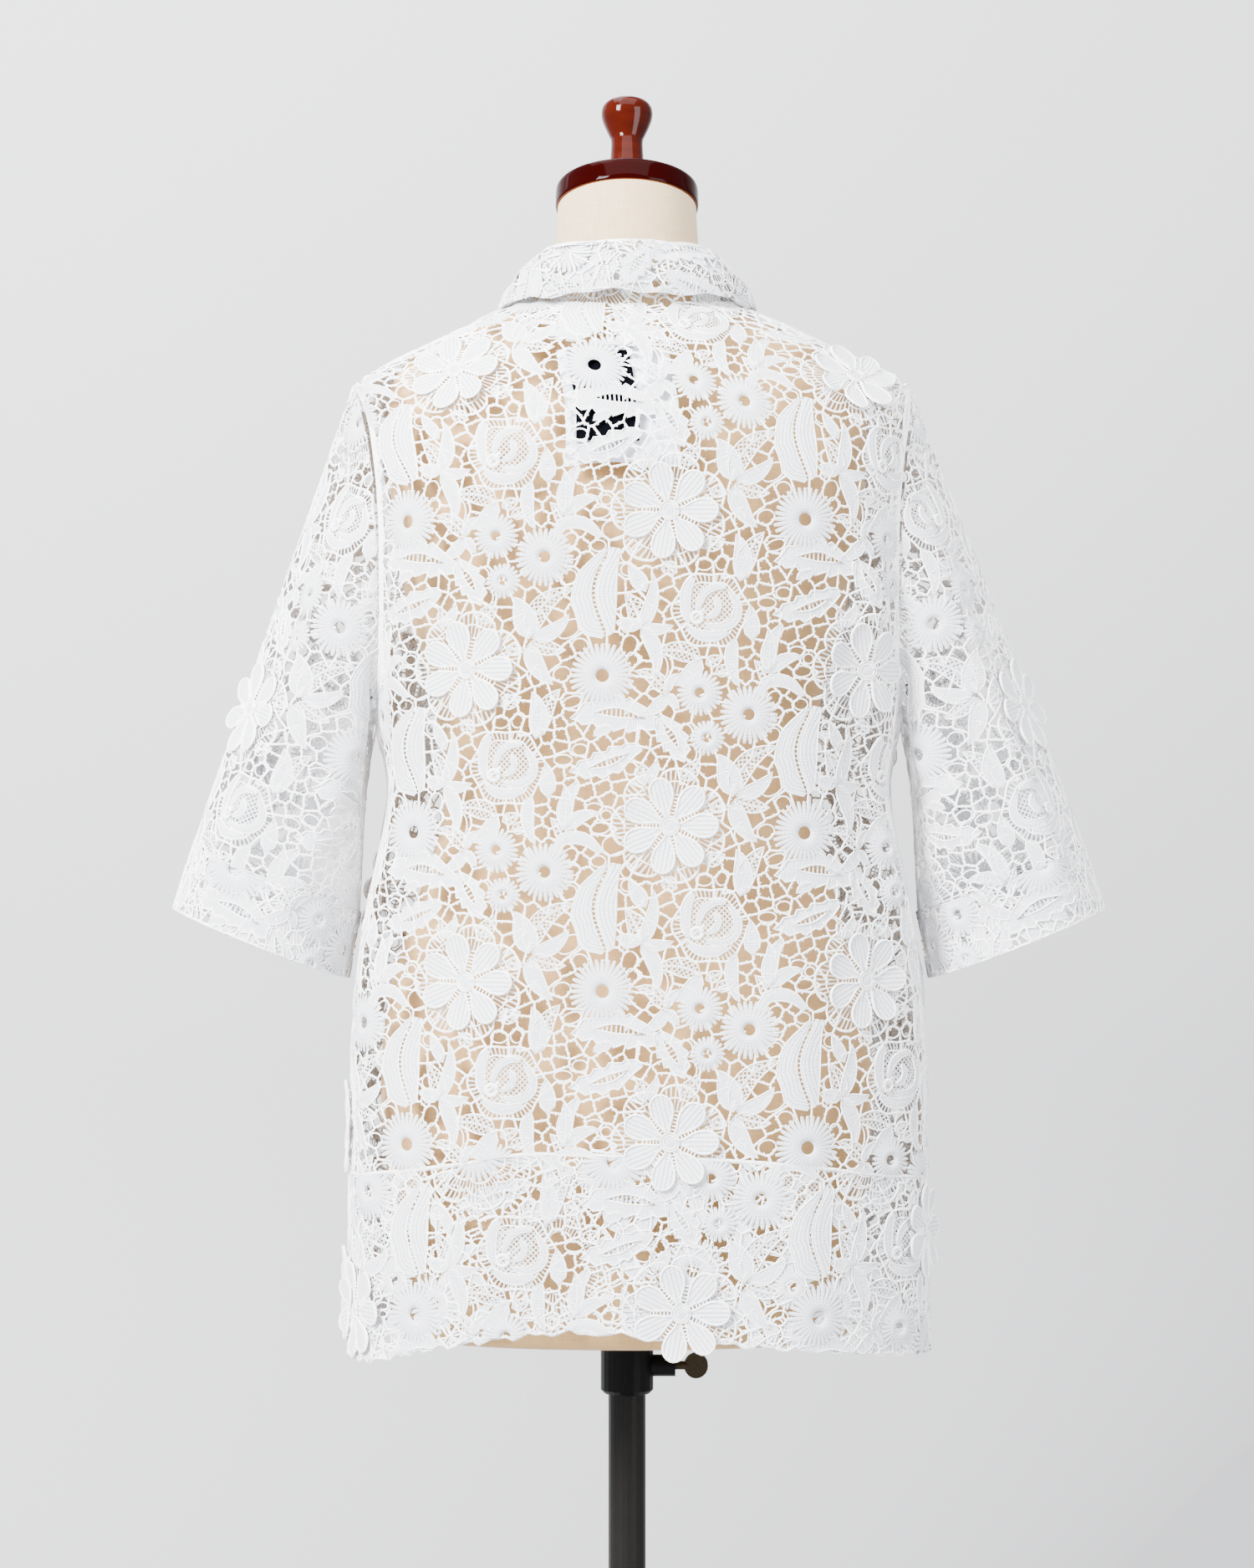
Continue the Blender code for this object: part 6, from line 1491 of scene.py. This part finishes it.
def linen_material():
    """Plain woven linen: crossing threads with slubs, painted paler as painted light where the neck stands in
    the light, and warmer as painted shade under the shirt.
    """
    material, tree, shader = new_material("linen_weave", {"Roughness": 0.85, "Sheen Weight": 0.15})
    place = add_node(tree, "ShaderNodeTexCoord", {}).outputs["Object"]
    heights = []
    for stretch in LINEN_THREADS:
        mapping = add_node(tree, "ShaderNodeMapping", {"Scale": stretch, "Vector": place})
        noise = add_node(tree, "ShaderNodeTexNoise",
                         {"Scale": 1.0, "Detail": 3.0, "Vector": mapping.outputs[0]})
        heights.append(noise.outputs["Fac"])
    weave = math_node(tree, "MULTIPLY", math_node(tree, "ADD", *heights), 0.5)
    split = add_node(tree, "ShaderNodeSeparateXYZ", {0: place})
    # painted light: the linen is painted paler with height on the neck, and darker and warmer below as
    # painted shade under the shirt
    rise = add_node(tree, "ShaderNodeMapRange", {"From Min": LINEN_LIT_FROM, "From Max": LINEN_LIT_TO,
                                                 "Value": split.outputs["Z"]})
    mixes = [mixed(tree, weave, dark, pale) for dark, pale in LINEN_SHADED_AND_LIT_COLOURS]
    tree.links.new(mixed(tree, rise.outputs[0], *mixes), shader.inputs["Base Color"])
    add_bumps(tree, shader, weave, 0.4, 0.0006)
    return material


def new_object(name, data):
    """An object in the scene."""
    thing = bpy.data.objects.new(name, data)
    bpy.context.collection.objects.link(thing)
    return thing


def tube_faces(rows, sides):
    """Faces between rings of so many points."""
    return [(low + i, low + (i + 1) % sides, low + sides + (i + 1) % sides, low + sides + i)
            for low in range(0, (rows - 1) * sides, sides) for i in range(sides)]


def lathe(name, profile, materials, place, sides, bead_rows=0):
    """A smooth turned piece from radius and height rows; its lowest rows may have a second material."""
    line = np.array(profile)
    turns = np.arange(sides) * 2 * math.pi / sides
    points = np.stack([line[:, :1] * np.cos(turns), line[:, :1] * np.sin(turns),
                       np.repeat(line[:, 1:], sides, axis=1)], axis=-1).reshape(-1, 3)
    faces = tube_faces(len(line), sides)
    mesh = bpy.data.meshes.new(name)
    mesh.from_pydata([tuple(place @ Vector(p)) for p in points], [], faces)
    mesh.shade_smooth()
    for material in materials:
        mesh.materials.append(material)
    for face in mesh.polygons[:bead_rows * sides]:
        face.material_index = 1
    return new_object(name, mesh)


def make_form(linen):
    """The limbless form, finer than its solid."""
    sides = FORM_SIDES
    heights = [row[0] for row in FORM_SECTIONS]
    levels = np.unique(np.concatenate([np.linspace(a, b, FORM_STEPS) for a, b in zip(heights, heights[1:])]))
    turns = np.arange(sides) * 2 * math.pi / sides
    c, s = np.cos(turns), np.sin(turns)
    points = []
    for z in levels:
        half, behind, before, roundness, tilt = (float(smooth_row(z, FORM_SECTIONS, k)) for k in range(1, 6))
        x = half * np.sign(s) * np.abs(s) ** (2 / roundness)
        y = np.where(c > 0, behind, before) * np.sign(c) * np.abs(c) ** (2 / roundness)
        points += list(zip(x, y, z + tilt * math.tan(NECK_TILT) * y))
    faces = tube_faces(len(levels), sides)
    hole = len(points)
    points += [(POLE_HOLE * math.sin(t), POLE_HOLE * math.cos(t), levels[0]) for t in turns]
    faces += [(hole + i, hole + (i + 1) % sides, (i + 1) % sides, i) for i in range(sides)]
    faces.append(tuple(range((len(levels) - 1) * sides, len(levels) * sides)))
    mesh = bpy.data.meshes.new("torso_form")
    mesh.from_pydata([tuple(map(float, p)) for p in points], [], faces)
    mesh.shade_smooth()
    mesh.set_sharp_from_angle(angle=SHARP_ANGLE)
    mesh.materials.append(linen)
    thing = new_object("torso_form", mesh)
    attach(thing, "form")
    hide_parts("torso")
    return thing


def make_cap(wood, dark_wood, bead):
    """The neck cap and its knob, with rounded edges."""
    tilt = Matrix.Rotation(NECK_TILT, 4, "X")
    rim_z = FORM_SECTIONS[-1][0] + math.tan(NECK_TILT) * CAP_MIDDLE_Y + SEAM / math.cos(NECK_TILT)
    base = Matrix.Translation((0, CAP_MIDDLE_Y, rim_z)) @ tilt
    rim = np.array(CAP_PROFILE)[1:-1]
    line = np.concatenate([[(TIP_RADIUS, 0.0)], rim[:1], curve_through(rim, CAP_POINTS),
                           [(TIP_RADIUS, CAP_PROFILE[-1][1])]])
    cap = lathe("neck_cap_turned", line, (dark_wood, bead), base @ Matrix.Diagonal((1, CAP_DEPTH, 1, 1)),
                CAP_SIDES, BEAD_ROWS)
    cap.data.set_sharp_from_angle(angle=SHARP_ANGLE)
    seat = Matrix.Translation((0, 0, CAP_PROFILE[-1][1] + SEAM))
    knob_line = curve_through(KNOB_PROFILE[1:], KNOB_POINTS)
    knob = lathe("cap_knob_turned", knob_line, (wood,), base @ seat, KNOB_SIDES)
    for thing, node, slot in ((cap, "neck_cap", "cap"), (knob, "cap_knob", "knob")):
        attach(thing, "form")
        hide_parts(node)


def dress_nodes(materials):
    """Procedural materials on the solids that stay as they are."""
    for node, material in materials.items():
        thing = bpy.data.objects[node]
        thing.data.materials.clear()
        thing.data.materials.append(material)


def make_room():
    """A pale backdrop that curves into the floor and can be seen through from outside, with painted light
    falloff across it, and soft light.
    """
    material, tree, shader = new_material("backdrop_paint", {"Roughness": 0.9})
    place = add_node(tree, "ShaderNodeTexCoord", {})
    split = add_node(tree, "ShaderNodeSeparateXYZ", {0: place.outputs["Object"]})
    # painted light: the backdrop is painted paler towards one upper side and darker towards the other lower
    # side
    slant = math_node(tree, "ADD", math_node(tree, "MULTIPLY", split.outputs["X"], 0.6),
                      math_node(tree, "MULTIPLY", split.outputs["Z"], 0.8))
    painted_light_falloff = add_node(tree, "ShaderNodeMapRange", {"From Min": -0.1, "From Max": 1.8, "Value": slant})
    shade = math_node(tree, "POWER", painted_light_falloff.outputs[0], 0.5)
    tree.links.new(mixed(tree, shade, *BACKDROP_COLOURS), shader.inputs["Base Color"])
    outside = math_node(tree, "MULTIPLY", add_node(tree, "ShaderNodeLightPath", {}).outputs["Is Camera Ray"],
                        add_node(tree, "ShaderNodeNewGeometry", {}).outputs["Backfacing"])
    tree.links.new(math_node(tree, "SUBTRACT", 1.0, outside), shader.inputs["Alpha"])
    turns = np.linspace(0, math.pi / 2, 16)[1:]
    cove = [(FLOOR_BACK - COVE_RADIUS * math.sin(t), COVE_RADIUS - COVE_RADIUS * math.cos(t)) for t in turns]
    profile = [(FLOOR_FRONT, 0.0), (FLOOR_BACK, 0.0), *cove, (FLOOR_BACK - COVE_RADIUS, WALL_HEIGHT)]
    points = [(x, y, z) for y, z in profile for x in (-WALL_HALF, WALL_HALF)]
    faces = [(2 * i, 2 * i + 2, 2 * i + 3, 2 * i + 1) for i in range(len(profile) - 1)]
    mesh = bpy.data.meshes.new("backdrop")
    mesh.from_pydata(points, [], faces)
    mesh.shade_smooth()
    mesh.materials.append(material)
    backdrop = new_object("backdrop", mesh)
    for name, place, target, size, power, colour in LIGHTS:
        light = bpy.data.lights.new(name, "AREA")
        light.shape = "RECTANGLE"
        light.size, light.size_y = size
        light.energy = power
        light.color = colour
        thing = new_object(name, light)
        thing.location = place
        thing.rotation_euler = (Vector(target) - Vector(place)).to_track_quat("-Z", "Y").to_euler()
    world = bpy.data.worlds.new("studio_air")
    world.use_nodes = True
    world.node_tree.nodes["Background"].inputs["Color"].default_value = WORLD_COLOUR
    world.node_tree.nodes["Background"].inputs["Strength"].default_value = WORLD_STRENGTH
    bpy.context.scene.world = world


def make_camera():
    """The photo's level view from behind."""
    camera = bpy.data.cameras.new("photo_view")
    camera.lens = CAMERA_LENS
    camera.sensor_width = CAMERA_SENSOR
    camera.clip_end = 50.0
    thing = new_object("photo_view", camera)
    thing.location = CAMERA_AT
    thing.rotation_euler = (math.pi / 2, 0, math.pi)
    bpy.context.scene.camera = thing


def main():
    """Dress the frame's nodes, lay the lace and light the room."""
    stitches = {name: stitch_group(name, *row) for name, row in STITCHES.items()}
    make_shirt([lace_material(name, stitches[kind], holes) for name, (kind, holes) in LACE_FINISHES.items()])
    make_form(linen_material())
    grain = grain_group()
    finishes = {name: plain_material(name, grain, *row) for name, row in FINISHES.items()}
    make_cap(finishes["knob_varnish"], finishes["cap_varnish"], finishes["bead_varnish"])
    dress_nodes({node: finishes[name] for node, name in NODE_FINISHES.items()})
    make_room()
    make_camera()


main()
